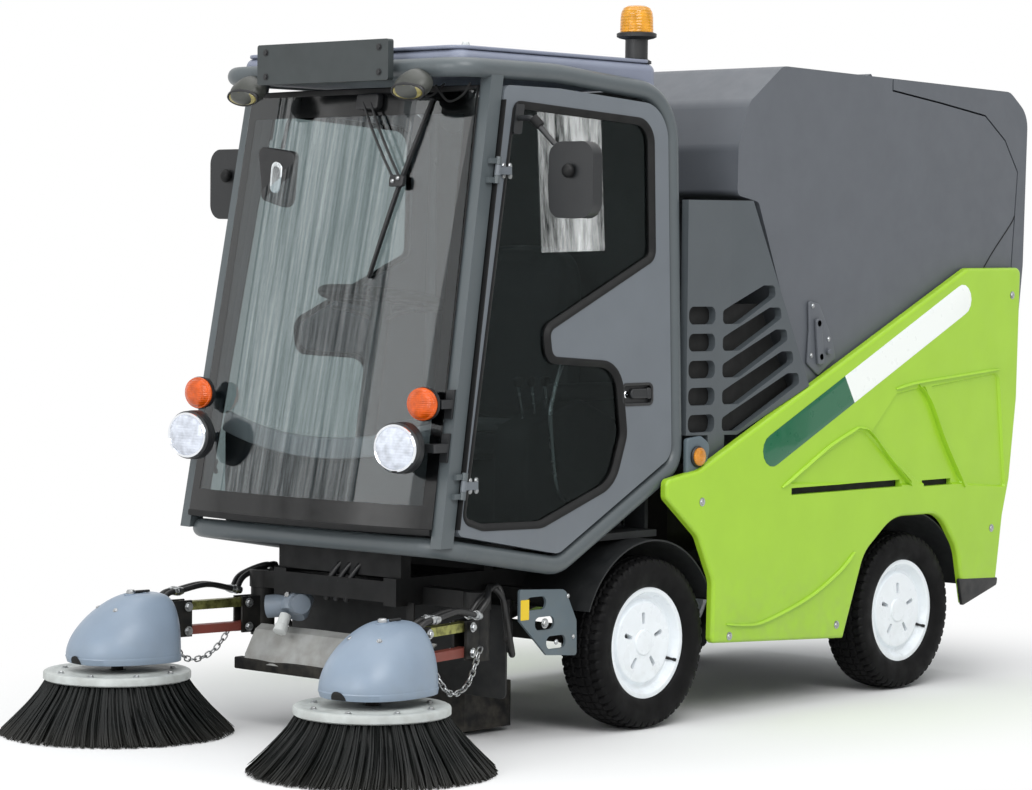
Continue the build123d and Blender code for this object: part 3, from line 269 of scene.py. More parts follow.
def piece(name, surfaces, finish, body="machine", slot=None, both=False, sharp=35, weld=True):
    """One object from several surfaces, welded, with its faces outwards, riding on a body."""
    if both:
        surfaces = list(surfaces) + [flipped(s) for s in surfaces]
    offsets = np.cumsum([0] + [len(s[0]) for s in surfaces])
    points = np.concatenate([s[0] for s in surfaces])
    faces = np.concatenate([s[1] + k for s, k in zip(surfaces, offsets)])
    mesh = bpy.data.meshes.new(name)
    mesh.vertices.add(len(points))
    mesh.vertices.foreach_set("co", points.astype(np.float32).ravel())
    mesh.loops.add(faces.size)
    mesh.loops.foreach_set("vertex_index", faces.astype(np.int32).ravel())
    mesh.polygons.add(len(faces))
    mesh.polygons.foreach_set("loop_start", np.arange(0, faces.size, 4, dtype=np.int32))
    mesh.update(calc_edges=True)
    if weld:
        shell = bmesh.new()
        shell.from_mesh(mesh)
        bmesh.ops.remove_doubles(shell, verts=shell.verts, dist=2e-6)
        bmesh.ops.dissolve_degenerate(shell, edges=shell.edges, dist=1e-7)
        bmesh.ops.recalc_face_normals(shell, faces=shell.faces)
        shell.to_mesh(mesh)
        shell.free()
    mesh.shade_smooth()
    mesh.set_sharp_from_angle(angle=math.radians(sharp))
    made = bpy.data.objects.new(name, mesh)
    bpy.context.scene.collection.objects.link(made)
    mesh.materials.append(FINISHES[finish])
    if body:
        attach(made, body)
    return made


def piece_pair(name, surfaces, finish, body, slot=None, **settings):
    """A left piece and its mirror image, each riding on its own side's body."""
    left = piece(f"{name}_left", surfaces, finish, body.format("left"), slot, **settings)
    right = piece(f"{name}_right", [flipped(s) for s in surfaces], finish, body.format("right"), slot,
                  **settings)
    return left, right




# ---- Finishes ------------------------------------------------------------------------------------
MM = 0.001
FINISHES = {}
ROAD_DUST, PALE_DUST = "#6d675c", "#8b877d"
STRIPE_SLANT, STRIPE_SPLIT = 0.62, 1.307


def add(tree, kind, inputs=None, **settings):
    """One node, with its settings and the values or links of its inputs."""
    made = tree.nodes.new(kind)
    for key, value in settings.items():
        setattr(made, key, value)
    for key, value in (inputs or {}).items():
        if isinstance(value, bpy.types.NodeSocket):
            tree.links.new(value, made.inputs[key])
        else:
            made.inputs[key].default_value = value
    return made


def begun(name, **constants):
    """A material with one Principled shader and its constants: (material, tree, shader, place)."""
    made = bpy.data.materials.new(name)
    made.use_nodes = True
    tree = made.node_tree
    tree.nodes.clear()
    shader = add(tree, "ShaderNodeBsdfPrincipled")
    add(tree, "ShaderNodeOutputMaterial", {"Surface": shader.outputs[0]})
    for key, value in constants.items():
        shader.inputs[key.replace("_", " ")].default_value = value
    return made, tree, shader, add(tree, "ShaderNodeTexCoord").outputs["Object"]


def patches(tree, place, size, low, high, start=0.3, end=0.7, detail=4.0):
    """Values that drift from low to high in cloudy patches about size metres across."""
    cloud = add(tree, "ShaderNodeTexNoise", {"Vector": place, "Scale": 0.5 / size, "Detail": detail})
    return add(tree, "ShaderNodeMapRange", {"Value": cloud.outputs["Fac"], "From Min": start, "From Max": end,
                                            "To Min": low, "To Max": high}).outputs["Result"]


def relief(tree, shader, place, size, depth, detail=2.0):
    """Fine bumps of a real size and depth, in metres."""
    grain = add(tree, "ShaderNodeTexNoise", {"Vector": place, "Scale": 0.5 / size, "Detail": detail})
    bump = add(tree, "ShaderNodeBump", {"Height": grain.outputs["Fac"], "Distance": depth})
    tree.links.new(bump.outputs[0], shader.inputs["Normal"])


def coated(name, code, rough, peel, drift=0.06, dust=None, **constants):
    """Paint or moulded plastic: colour that drifts over a hand's breadth, orange peel, settled dust.

    rough is the sheen's range, peel the bumps' (size, depth) in mm, dust its (colour, share, height in m)."""
    made, tree, shader, place = begun(name, **constants)
    colour = np.array(linear(code))
    shades = [tuple(np.clip(colour[:3] * share, 0, 1)) + (1.0,) for share in (1 - drift, 1 + drift)]
    base = add(tree, "ShaderNodeMix", {"Factor": patches(tree, place, 60 * MM, 0, 1), "A": shades[0],
                                       "B": shades[1]}, data_type="RGBA").outputs["Result"]
    sheen = patches(tree, place, 25 * MM, *rough)
    if dust:
        tone, share, top = dust
        height = add(tree, "ShaderNodeSeparateXYZ", {"Vector": place}).outputs["Z"]
        low = add(tree, "ShaderNodeMapRange", {"Value": height, "From Min": 0.2 * top, "From Max": top,
                                               "To Min": 1.0, "To Max": 0.0}).outputs["Result"]
        cloud = patches(tree, place, 18 * MM, 0, share, 0.35, 0.7, 6.0)
        film = add(tree, "ShaderNodeMath", {0: low, 1: cloud}, operation="MULTIPLY").outputs[0]
        base = add(tree, "ShaderNodeMix", {"Factor": film, "A": base, "B": linear(tone)},
                   data_type="RGBA").outputs["Result"]
    tree.links.new(base, shader.inputs["Base Color"])
    tree.links.new(sheen, shader.inputs["Roughness"])
    relief(tree, shader, place, peel[0] * MM, peel[1] * MM)
    return made


def glazed(name, code):
    """Polished glass: clear and smooth, with its plain reflection of about a twentieth."""
    return begun(name, Base_Color=linear(code), Transmission_Weight=1.0, IOR=1.52, Roughness=0.0)[0]


def ribbed(name, code, pitch, depth, clear, rough=0.08):
    """Moulded acrylic lens: deep colour that glows where it is thin, with ribs pitch mm apart."""
    made, tree, shader, place = begun(name, Transmission_Weight=clear, Roughness=rough, IOR=1.49)
    ribs = add(tree, "ShaderNodeTexWave", {"Vector": place, "Scale": 0.314 / (pitch * MM)},
               bands_direction="Z")
    bump = add(tree, "ShaderNodeBump", {"Height": ribs.outputs["Fac"], "Distance": depth * MM})
    tree.links.new(bump.outputs[0], shader.inputs["Normal"])
    deep = tuple(np.array(linear(code)[:3]) * 0.62) + (1.0,)
    base = add(tree, "ShaderNodeMix", {"Factor": patches(tree, place, 12 * MM, 0, 1), "A": deep,
                                       "B": linear(code)}, data_type="RGBA")
    tree.links.new(base.outputs["Result"], shader.inputs["Base Color"])
    return made


def metal(name, code, rough, stain=None, share=0.0):
    """Plated or bare metal: smears in the shine about a fingertip wide, and stains where it has worn."""
    made, tree, shader, place = begun(name, Base_Color=linear(code), Metallic=1.0)
    if stain:
        base = add(tree, "ShaderNodeMix", {"Factor": patches(tree, place, 9 * MM, 0, share, 0.42, 0.66, 6.0),
                                           "A": linear(code), "B": linear(stain)}, data_type="RGBA")
        tree.links.new(base.outputs["Result"], shader.inputs["Base Color"])
    tree.links.new(patches(tree, place, 10 * MM, *rough), shader.inputs["Roughness"])
    relief(tree, shader, place, 2 * MM, 0.02 * MM)
    return made


def tyre_rubber():
    """Moulded carbon-black rubber: dull, with grey road dust in its clouds."""
    made, tree, shader, place = begun("tyre_rubber", Specular_IOR_Level=0.18)
    cloud = patches(tree, place, 22 * MM, 0, 0.4, 0.45, 0.75, 6.0)
    base = add(tree, "ShaderNodeMix", {"Factor": cloud, "A": linear("#020203"), "B": linear("#0f0e0e")},
               data_type="RGBA")
    tree.links.new(base.outputs["Result"], shader.inputs["Base Color"])
    tree.links.new(patches(tree, place, 22 * MM, 0.5, 0.8), shader.inputs["Roughness"])
    relief(tree, shader, place, 1.2 * MM, 0.1 * MM)
    return made


def polypropylene_bristle():
    """Extruded polypropylene: stiff black strands with a low shine, no two quite alike, dusty tips."""
    made, tree, shader, place = begun("polypropylene_bristle", Roughness=0.55, Specular_IOR_Level=0.3)
    height = add(tree, "ShaderNodeSeparateXYZ", {"Vector": place}).outputs["Z"]
    strand = patches(tree, place, 3 * MM, 0, 1, 0.35, 0.65, 2.0)
    base = add(tree, "ShaderNodeMix", {"Factor": strand, "A": linear("#010202"), "B": linear("#0f1413")},
               data_type="RGBA").outputs["Result"]
    tips = add(tree, "ShaderNodeMapRange", {"Value": height, "From Min": 0.0, "From Max": 0.06,
                                            "To Min": 0.22, "To Max": 0.0}).outputs["Result"]
    base = add(tree, "ShaderNodeMix", {"Factor": tips, "A": base, "B": linear("#45423c")},
               data_type="RGBA").outputs["Result"]
    tree.links.new(base, shader.inputs["Base Color"])
    return made


def woven_polyester():
    """Woven polyester: matt, with threads 4 mm apart, coarser than the real 1 mm so that they show."""
    made, tree, shader, place = begun("woven_polyester", Roughness=0.9, Sheen_Weight=0.3)
    threads = [add(tree, "ShaderNodeTexWave", {"Vector": place, "Scale": 0.314 / (4 * MM)},
                   bands_direction=way).outputs["Fac"] for way in "XZ"]
    weave = add(tree, "ShaderNodeMath", {0: threads[0], 1: threads[1]}, operation="MAXIMUM").outputs[0]
    base = add(tree, "ShaderNodeMix", {"Factor": weave, "A": linear("#17181a"), "B": linear("#33363a")},
               data_type="RGBA")
    tree.links.new(base.outputs["Result"], shader.inputs["Base Color"])
    bump = add(tree, "ShaderNodeBump", {"Height": weave, "Distance": 0.3 * MM})
    tree.links.new(bump.outputs[0], shader.inputs["Normal"])
    return made


def vinyl_stripe():
    """Printed vinyl film: its front third dark green, the rest white, parted by a slanted edge."""
    made, tree, shader, place = begun("vinyl_stripe", Coat_Weight=0.3)
    parts = add(tree, "ShaderNodeSeparateXYZ", {"Vector": place})
    slant = add(tree, "ShaderNodeMath", {0: parts.outputs["Z"], 1: STRIPE_SLANT, 2: parts.outputs["Y"]},
                operation="MULTIPLY_ADD").outputs[0]
    edge = add(tree, "ShaderNodeMath", {0: slant, 1: STRIPE_SPLIT}, operation="GREATER_THAN").outputs[0]
    base = add(tree, "ShaderNodeMix", {"Factor": edge, "A": linear("#12603f"), "B": linear("#f2f6f2")},
               data_type="RGBA")
    tree.links.new(base.outputs["Result"], shader.inputs["Base Color"])
    tree.links.new(patches(tree, place, 20 * MM, 0.25, 0.38), shader.inputs["Roughness"])
    return made


def make_finishes(tones):
    """Every finish of the machine, by the piece it is for."""
    FINISHES.update({
        # Rotomoulded polyethylene: waxy, soft sheen over faint 3 mm ripples.
        "green": coated("polyethylene_green", tones.body_green, (0.30, 0.42), (3.0, 0.10), 0.03,
                        ("#8d9468", 0.30, 0.5), IOR=1.5),
        "hopper": coated("polyethylene_grey", tones.hopper_grey, (0.42, 0.55), (2.2, 0.08), 0.04,
                         (PALE_DUST, 0.12, 0.9), IOR=1.5),
        "grille": coated("polyethylene_intake", tones.grille_grey, (0.40, 0.52), (2.0, 0.08), 0.04,
                         (PALE_DUST, 0.12, 0.9), IOR=1.5),
        "cover": coated("polyethylene_blue", tones.cover_blue, (0.32, 0.45), (2.0, 0.06), 0.05,
                        ("#7c807c", 0.35, 0.34), IOR=1.5),
        "liner": coated("polyethylene_black", "#101315", (0.55, 0.75), (2.0, 0.10), 0.15,
                        ("#3a3833", 0.35, 0.5), IOR=1.5),
        # Powder-coated steel: satin, with 1.5 mm orange peel.
        "cab": coated("powder_coat_tube", tones.cab_grey, (0.34, 0.44), (1.5, 0.03), 0.04,
                      (PALE_DUST, 0.12, 0.7)),
        "door": coated("powder_coat_door", tones.door_grey, (0.36, 0.46), (1.5, 0.03), 0.04,
                       (PALE_DUST, 0.12, 0.8)),
        "roof": coated("powder_coat_roof", "#7c8293", (0.35, 0.5), (1.5, 0.03), 0.04),
        "board": coated("powder_coat_board", "#2d3334", (0.42, 0.6), (2.5, 0.08), 0.10),
        "plate": coated("powder_coat_plate", "#56636a", (0.4, 0.55), (1.5, 0.05), 0.08,
                        (ROAD_DUST, 0.35, 0.5)),
        # Galvanised sheet: dulled zinc under road dust.
        "deflector": coated("galvanised_deflector", "#a3a4a2", (0.45, 0.65), (2.5, 0.12), 0.15,
                            (ROAD_DUST, 0.6, 0.5)),
        "brush_plate": coated("galvanised_brush_plate", "#b9bebc", (0.4, 0.6), (2.5, 0.10), 0.15,
                              (ROAD_DUST, 0.5, 0.3)),
        # Brushed-on enamel: thicker and uneven, dusty low down.
        "chassis": coated("enamel_chassis", "#0b0c0d", (0.45, 0.65), (2.5, 0.10), 0.15,
                          (ROAD_DUST, 0.30, 0.45), Specular_IOR_Level=0.3),
        "redlead": coated("enamel_red_lead", "#7c3a30", (0.45, 0.6), (2.0, 0.10), 0.15,
                          (ROAD_DUST, 0.30, 0.5)),
        "rim": coated("enamel_wheel_white", "#f0f5f9", (0.24, 0.36), (3.0, 0.04), 0.02,
                      ("#a3a199", 0.20, 0.4), Coat_Weight=0.2),
        # Injection-moulded ABS and nylon: fine 1 mm grain that breaks up the shine.
        "black": coated("abs_black", "#17181a", (0.42, 0.6), (1.2, 0.06), 0.12, (PALE_DUST, 0.15, 0.5)),
        "pod": coated("abs_lamp_black", "#1d1f21", (0.35, 0.5), (1.2, 0.05), 0.10),
        "lampcase": coated("abs_lamp_grey", "#3b3d39", (0.4, 0.55), (1.5, 0.06), 0.10),
        "interior": coated("abs_interior", "#232527", (0.5, 0.7), (1.5, 0.08), 0.10),
        "trim": coated("abs_dash_edge", "#9a9c9d", (0.35, 0.5), (1.5, 0.05), 0.05),
        "white": coated("nylon_white", "#d0d3d1", (0.4, 0.5), (1.5, 0.04), 0.04),
        # Near-black and matt: the visor's own plastic, and painted shade for the grille intakes, panel vents
        # and the brush cover's well and notch.
        "dark": coated("abs_intake_inside", "#050606", (0.7, 0.85), (3.0, 0.2), 0.15),
        # Extruded EPDM and hose rubber: dull black with a bloom.
        "rubber": coated("epdm_rubber", "#0a0b0c", (0.5, 0.65), (1.2, 0.04), 0.12, Specular_IOR_Level=0.3),
        "hose": coated("hose_rubber", "#121315", (0.36, 0.5), (1.2, 0.06), 0.15, (ROAD_DUST, 0.2, 0.5)),
        # Castings: rough sand-cast skin under paint, or bare iron.
        "casting": coated("cast_aluminium_blue", "#76818d", (0.4, 0.55), (2.0, 0.15), 0.10,
                          (ROAD_DUST, 0.3, 0.6)),
        "engine": coated("cast_iron", "#34322f", (0.55, 0.75), (2.5, 0.25), 0.15, Metallic=0.4),
        # Printed film and the glass's printed edge: smooth, with hardly any grain.
        "yellow": coated("vinyl_yellow", "#e3c11c", (0.3, 0.45), (2.0, 0.02), 0.03),
        "band": coated("ceramic_print", "#08090a", (0.10, 0.18), (3.0, 0.01), 0.05),
        "stripe": vinyl_stripe(),
        # Toughened float glass, lightly tinted; pale lamp glass that lets little light through, a painted
        # reflection of the lit reflector behind it; moulded acrylic lenses.
        "glass": glazed("float_glass", "#c3cdd0"),
        "side_glass": glazed("tinted_float_glass", "#8f9998"),
        # Painted reflection: a pale, nearly opaque lens stands for the bright reflector seen through clear
        # glass.
        "lamp_glass": ribbed("fluted_lamp_glass", "#e8eefa", 8.0, 0.5, 0.12, 0.06),
        "amber": ribbed("acrylic_amber", "#ff6a12", 6.0, 0.5, 0.25),
        "beacon": ribbed("acrylic_beacon", "#ffb428", 9.0, 0.8, 0.35),
        "repeater": ribbed("acrylic_repeater", "#ffa632", 5.0, 0.4, 0.30),
        "red": ribbed("acrylic_red", "#c81a1a", 6.0, 0.5, 0.30),
        "work_lens": ribbed("acrylic_work_lens", "#a89d5c", 14.0, 1.0, 0.25, 0.12),
        "tyre": tyre_rubber(),
        "bristle": polypropylene_bristle(),
        "seat": woven_polyester(),
        # Yellow-passivated zinc clouds over gold and green; bright zinc, chrome and drawn steel.
        "zinc": metal("zinc_yellow", "#a3a463", (0.32, 0.5), "#5d5a38", 0.8),
        "bolt": metal("zinc_bright", "#b4b7b9", (0.25, 0.4), "#77736c", 0.4),
        "chrome": metal("chrome_plate", "#eef1f5", (0.04, 0.10)),
        "rod": metal("drawn_steel", "#a8acae", (0.2, 0.3)),
        "mirror": metal("silvered_mirror", "#d9dee0", (0.01, 0.03)),
    })


# ---- Wheels --------------------------------------------------------------------------------------
WHEEL_X, AXLE_Z = 0.468, 0.257
AXLES_Y = {"front": -0.250, "rear": 1.050}
TYRE_R, TYRE_HALF, LIP_R, CROWN_HALF = 0.257, 0.075, 0.1675, 0.0655
# Where the four grooves run across the tread, and the distances out between which the tread begins.
GROOVES, TREAD_FROM, TREAD_TO = (-0.62, -0.22, 0.22, 0.62), 0.232, 0.243


def smooth(value, start, end):
    """0 before start, 1 after end, and t * t * (3 - 2 t) between them."""
    t = np.clip((value - start) / (end - start), 0, 1)
    return t * t * (3 - 2 * t)


def tyre_surface(sizes, y):
    """Ring about the axle: distance(a, s) = profile(s) - depth * grooves(a, s), a round, s across."""
    around, pitch = 12 * sizes.lugs, 2 * np.pi / sizes.lugs
    side = through([(-0.054, 0.1530), (-0.0545, LIP_R - 0.003), (-0.062, LIP_R + 0.002), (-0.0705, 0.184),
                    (-TYRE_HALF, 0.207), (-0.0745, 0.226), (-0.0700, 0.2405)], 26)
    side[:, 0] -= sum(0.0009 * np.exp(-((side[:, 1] - ring) / 0.0012) ** 2) for ring in (0.1845, 0.193))
    across = np.linspace(-CROWN_HALF, CROWN_HALF, 45)
    crown = np.stack([across, TYRE_R - 0.0085 * np.abs(across / CROWN_HALF) ** 2.6], -1)
    profile = np.concatenate([side, crown, (side * np.array([-1, 1]))[::-1]])
    s = profile[None, :, 0] / CROWN_HALF
    a = np.linspace(0, 2 * np.pi, around, endpoint=False)[:, None]
    tread = smooth(profile[None, :, 1], TREAD_FROM, TREAD_TO)
    zigzag = 0.035 * np.sign(np.sin(a / pitch * 2 * np.pi)) * smooth(np.abs(s), 0.05, 0.2)
    rings = sum(1 - smooth(np.abs(s - c - zigzag * np.sign(c)), 0.028, 0.06) for c in GROOVES)
    share = (a / pitch + 0.35 * s * np.sign(s)) % 1.0
    lugs = (1 - smooth(np.abs(share - 0.5), 0.10, 0.17)) * smooth(np.abs(s), 0.66, 0.72)
    centre = (1 - smooth(np.abs((share + 0.5) % 1.0 - 0.5), 0.05, 0.10)) * (1 - smooth(np.abs(s), 0.56, 0.62))
    cut = np.maximum(np.maximum(np.clip(rings, 0, 1), lugs), 0.6 * centre)
    distance = profile[None, :, 1] - sizes.tread_depth * tread * np.clip(cut, 0, 1)
    points = np.stack([WHEEL_X + profile[None, :, 0] + 0 * a, y + distance * np.cos(a),
                       AXLE_Z + distance * np.sin(a)], -1)
    return grid(points, wrap_u=True, wrap_v=True)


def valve_stem(y):
    """The rubber valve with its cap, on the wheel's outer face."""
    foot = np.array([WHEEL_X, y, AXLE_Z]) + np.array([0.026, 0.118, -0.055])
    return turned([(0, 0), (0.0045, 0), (0.0045, 0.014), (0.0035, 0.017), (0.0035, 0.026),
                   (0.0048, 0.027), (0.0048, 0.037), (0, 0.038)], foot, (0.8, 0.45, -0.2), 14)


def make_tyres(sizes):
    """Treaded tyres in place of the plain ones, and the wheels' valves."""
    for end, y in AXLES_Y.items():
        for side, sign in SIDES:
            surface = tyre_surface(sizes, y)
            made = piece(f"tread_{end}_{side}", [surface if sign > 0 else flipped(surface)], "tyre",
                         f"wheel_{end}_{side}", sharp=50)
            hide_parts(f"tyre_{end}_{side}")
        piece_pair(f"valve_{end}", [valve_stem(y)], "rubber", f"wheel_{end}_" + "{}")


# ---- Brushes -------------------------------------------------------------------------------------
BRUSH_AT, PLATE_LOW, PLATE_TOP = (0.522, -1.410), 0.158, 0.184
PLATE_R, TIP_R, BOLT_CIRCLE, BRUSH_BOLTS = 0.215, 0.345, 0.171, 8
# Rows of tufts: how far out the first one stands and reaches, and what each further one adds.
TUFT_ROWS, ROOT_R, ROOT_STEP, REACH_R, REACH_STEP = 5, 0.150, 0.013, 0.272, 0.0165


def strands(sizes):
    """Curved strands from plate to ground, three-sided, along t from 0 to 1.

    distance(t) = root + (reach - root) * t^1.12, turn(t) = angle + sway * t^2,
    height(t) = top + (end - top) * t^0.97."""
    random = np.random.default_rng(sizes.seed)
    count = sizes.strands
    tuft = np.floor(random.random(count) * sizes.tufts)
    band = random.integers(0, TUFT_ROWS, count)
    angle = (tuft + 0.5 * (band % 2)) * 2 * np.pi / sizes.tufts + random.normal(0, 0.016, count)
    root = ROOT_R + ROOT_STEP * band + random.normal(0, 0.002, count)
    reach = np.minimum(REACH_R + REACH_STEP * band + random.normal(0, 0.006, count), TIP_R - 0.003)
    end = 0.002 + 0.010 * random.random(count) ** 3
    sway = random.normal(0, 0.012, count) - 0.05
    rings, corners = 6, 3
    t = np.linspace(0, 1, rings)[None, :]
    distance = root[:, None] + (reach - root)[:, None] * t ** 1.12
    turn = angle[:, None] + sway[:, None] * t ** 2
    height = (PLATE_LOW + 0.002) + (end - PLATE_LOW - 0.002)[:, None] * t ** 0.97
    middle = np.stack([distance * np.cos(turn), distance * np.sin(turn), height], -1)
    corner = random.random(count)[:, None] * 6.28 + np.array([0, 2.094, 4.189])[None]
    thick = sizes.strand_width / 2 * np.array([1, 1, 1, 1, 0.95, 0.8])
    ring = np.stack([np.cos(corner), np.sin(corner), 0.4 * np.cos(corner)], -1)
    points = middle[:, :, None] + thick[None, :, None, None] * ring[:, None]
    base = (np.arange(count) * rings * corners)[:, None, None]
    along = (np.arange(rings - 1) * corners)[None, :, None]
    around = np.arange(corners)[None, None]
    after = (around + 1) % corners
    quads = np.stack([base + along + around, base + along + after, base + along + corners + after,
                      base + along + corners + around], -1)
    return points.reshape(-1, 3) + np.array([*BRUSH_AT, 0]), quads.reshape(-1, 4)


def make_brushes(sizes):
    """The plates in place of the plain ones, with their bolts, dark cores and strands."""
    centre = np.array([*BRUSH_AT, 0.0])
    core = turned([(0.150, PLATE_LOW + 0.001), (0.196, PLATE_LOW + 0.001), (0.222, 0.12), (0.262, 0.06),
                   (0.303, 0.012), (0.296, 0.010), (0.205, 0.10)], centre, UP, 96)
    plate = turned([(0.0255, PLATE_LOW), (0.0255, PLATE_TOP), (0.150, PLATE_TOP),
                    (0.156, PLATE_TOP - 0.003), (0.186, PLATE_TOP - 0.003), (0.192, PLATE_TOP),
                    (PLATE_R - 0.006, PLATE_TOP), (PLATE_R - 0.002, PLATE_TOP - 0.002),
                    (PLATE_R, PLATE_TOP - 0.006), (PLATE_R, PLATE_LOW + 0.004),
                    (PLATE_R - 0.006, PLATE_LOW), (0.10, PLATE_LOW)], centre, UP, 96)
    turns = [math.tau * (k + 0.5) / BRUSH_BOLTS for k in range(BRUSH_BOLTS)]
    spots = [centre + np.array([BOLT_CIRCLE * math.cos(a), BOLT_CIRCLE * math.sin(a), PLATE_TOP - 0.003])
             for a in turns]
    plates = piece_pair("brush_plate", [plate], "brush_plate", "brush_{}")
    for made, (side, _) in zip(plates, SIDES):
        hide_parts(f"brush_{side}")
    piece_pair("brush_core", [core], "bristle", "brush_{}", sharp=60)
    piece_pair("brush_strands", [strands(sizes)], "bristle", "brush_{}", weld=False, sharp=80)
    piece_pair("brush_bolts", bolts(spots, UP, 0.0075, 0.006), "bolt", "brush_{}")


# ---- Lamps ---------------------------------------------------------------------------------------
# Where each lamp's middle stands, on the left side.
HEADLAMP, INDICATOR, WORK_LAMP = (0.425, -1.160, 0.868), (0.457, -1.128, 0.989), (0.336, -1.058, 1.877)
BEACON = np.array([0.392, -0.170, 0.0])
# The headlamps and indicators are wider than they are tall.
LAMP_WIDER = 1.22


def stretched(surfaces, middle, share):
    """Surfaces made wider about a plane of constant X."""
    return [(points * np.array([share, 1, 1]) + np.array([middle * (1 - share), 0, 0]), faces)
            for points, faces in surfaces]


def make_headlamps():
    """Oval black bowls with chrome rings and domed fluted lenses, pale and nearly opaque: a painted
    reflection of the lit reflector.
    """
    bowl = turned([(0.0, 0.0503), (0.068, 0.0503), (0.0705, 0.056), (0.0705, 0.064), (0.066, 0.068),
                   (0.060, 0.068), (0.058, 0.060), (0, 0.052)], HEADLAMP, AHEAD, 64)
    ring = turned([(0.0575, 0.060), (0.0665, 0.0685), (0.066, 0.072), (0.0625, 0.0745), (0.0595, 0.073),
                   (0.0575, 0.069)], HEADLAMP, AHEAD, 72)
    lens = turned([(0.0588, 0.0705), (0.052, 0.0752), (0.036, 0.0785), (0.018, 0.0797), (0, 0.0799),
                   (0, 0.0785), (0.018, 0.0783), (0.036, 0.0771), (0.0515, 0.0738), (0.0575, 0.0698)],
                  HEADLAMP, AHEAD, 64)
    bowl, ring, lens = stretched([bowl, ring, lens], HEADLAMP[0], LAMP_WIDER)
    made = piece("headlamp_bowls", [bowl], "pod", both=True)
    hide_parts("headlamps")
    piece("headlamp_rings", [ring], "chrome", both=True)
    # The lenses carry the painted reflection of the lamps' reflectors.
    piece("headlamp_lenses", [lens], "lamp_glass", both=True)


def make_indicators():
    """Amber domes with a stepped rim."""
    base = turned([(0, 0.0163), (0.047, 0.0163), (0.048, 0.019), (0.048, 0.024), (0, 0.024)], INDICATOR,
                  AHEAD, 48)
    lens = turned([(0, 0.0235), (0.0455, 0.0235), (0.0465, 0.028), (0.0450, 0.032), (0.0415, 0.033),
                   (0.036, 0.0405), (0.024, 0.0445), (0.0, 0.0458)], INDICATOR, AHEAD, 48)
    base, lens = stretched([base, lens], INDICATOR[0], LAMP_WIDER)
    made = piece("indicator_lenses", [lens], "amber", both=True)
    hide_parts("indicators")
    piece("indicator_bases", [base], "black", both=True)


def make_work_lamps():
    """Eye-shaped cases: a peaked hood over an oval faceted lens that looks down and ahead."""
    x, y, z = WORK_LAMP
    back, front = y - 0.0003, y - 0.056
    a = np.linspace(0, 2 * np.pi, 72, endpoint=False)[None, :]
    t = np.linspace(0, 1, 14)[:, None]
    peak = 1 + 0.16 * np.exp(-((a - np.pi / 2) / 0.45) ** 2)
    size = np.sqrt(np.clip(1 - (0.92 * t) ** 2.4, 0, 1)) * (0.86 + 0.14 * t)
    size = np.concatenate([np.zeros((1, 1)), size, np.array([[0.30], [0.0]])])
    level = np.concatenate([np.zeros((1, 1)), t, np.ones((2, 1))])
    case = np.stack([x + 0.0695 * size * np.cos(a), back + (front - back) * level + 0 * a,
                     z + 0.004 + 0.0435 * size * peak * np.sin(a) - 0.012 * level], -1)
    made = piece("work_lamp_cases", [grid(case, wrap_v=True)], "lampcase", both=True, sharp=60)
    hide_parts("work_lamps")
    down = unit(np.array([0.0, -0.80, -0.60]))
    up = np.cross(LEFT, down)
    middle = np.array([x, y - 0.035, z - 0.016])
    ring = np.stack([np.cos(a[0]), np.sin(a[0])], -1)

    def oval(wide, tall, ahead):
        return middle + down * ahead + ring[:, :1] * wide * np.array(LEFT) + ring[:, 1:] * tall * up

    bezel = np.stack([oval(0.0, 0.0, -0.004), oval(0.058, 0.026, -0.004), oval(0.0635, 0.0305, 0.004),
                      oval(0.0620, 0.0290, 0.0085), oval(0.0575, 0.0250, 0.0090), oval(0.056, 0.0240, 0.005),
                      oval(0.0, 0.0, 0.003)])
    lens = np.stack([oval(0.0, 0.0, 0.006), oval(0.0565, 0.0245, 0.006), oval(0.053, 0.0225, 0.0095),
                     oval(0.036, 0.015, 0.0125), oval(0.0, 0.0, 0.0135)])
    piece("work_lamp_bezels", [grid(bezel, wrap_v=True)], "black", slot="lamp_chrome", both=True)
    piece("work_lamp_lenses", [grid(lens, wrap_v=True)], "work_lens", both=True)


def make_beacon():
    """Black base, stem and flange under a ribbed amber dome."""
    base = turned([(0, 1.9803), (0.045, 1.9803), (0.045, 1.988), (0.034, 1.994), (0.034, 2.052),
                   (0.052, 2.056), (0.060, 2.060), (0.060, 2.070), (0.052, 2.0735), (0, 2.074)],
                  BEACON, UP, 64)
    dome = turned([(0, 2.0738), (0.0495, 2.0738), (0.0500, 2.080), (0.0490, 2.118), (0.0465, 2.134),
                   (0.0400, 2.1460), (0.028, 2.1525), (0.012, 2.1538), (0, 2.1539)], BEACON, UP, 64)
    made = piece("beacon_base", [base], "black", slot="amber")
    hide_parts("beacon")
    piece("beacon_dome", [dome], "beacon")


# ---- Cab -----------------------------------------------------------------------------------------
# The door window's corners: Y, Z and the radius of each.
WINDOW = [(-1.068, 0.660, 0.030), (-0.990, 0.636, 0.060), (-0.740, 0.630, 0.110), (-0.420, 0.735, 0.120),
          (-0.362, 0.880, 0.080), (-0.385, 1.090, 0.090), (-0.690, 1.110, 0.030), (-0.700, 1.190, 0.030),
          (-0.222, 1.398, 0.040), (-0.222, 1.805, 0.070), (-0.834, 1.836, 0.030)]
# The screen's foot and top edge, half its width at each, how far it stands ahead of the posts and bows
# forward, and the printed band's foot, top and width.
SCREEN_LOW, SCREEN_TOP, SCREEN_WIDE, SCREEN_NARROW = 0.634, 1.871, 0.492, 0.457
SCREEN_AHEAD, SCREEN_BOW, BAND_LOW, BAND_TOP, BAND_WIDE = 0.0313, 0.045, 0.640, 1.866, 0.034
DOOR_FACE, HINGE_ROWS, HANDLE = 0.024, (0.760, 1.640), (-0.3075, 0.997)


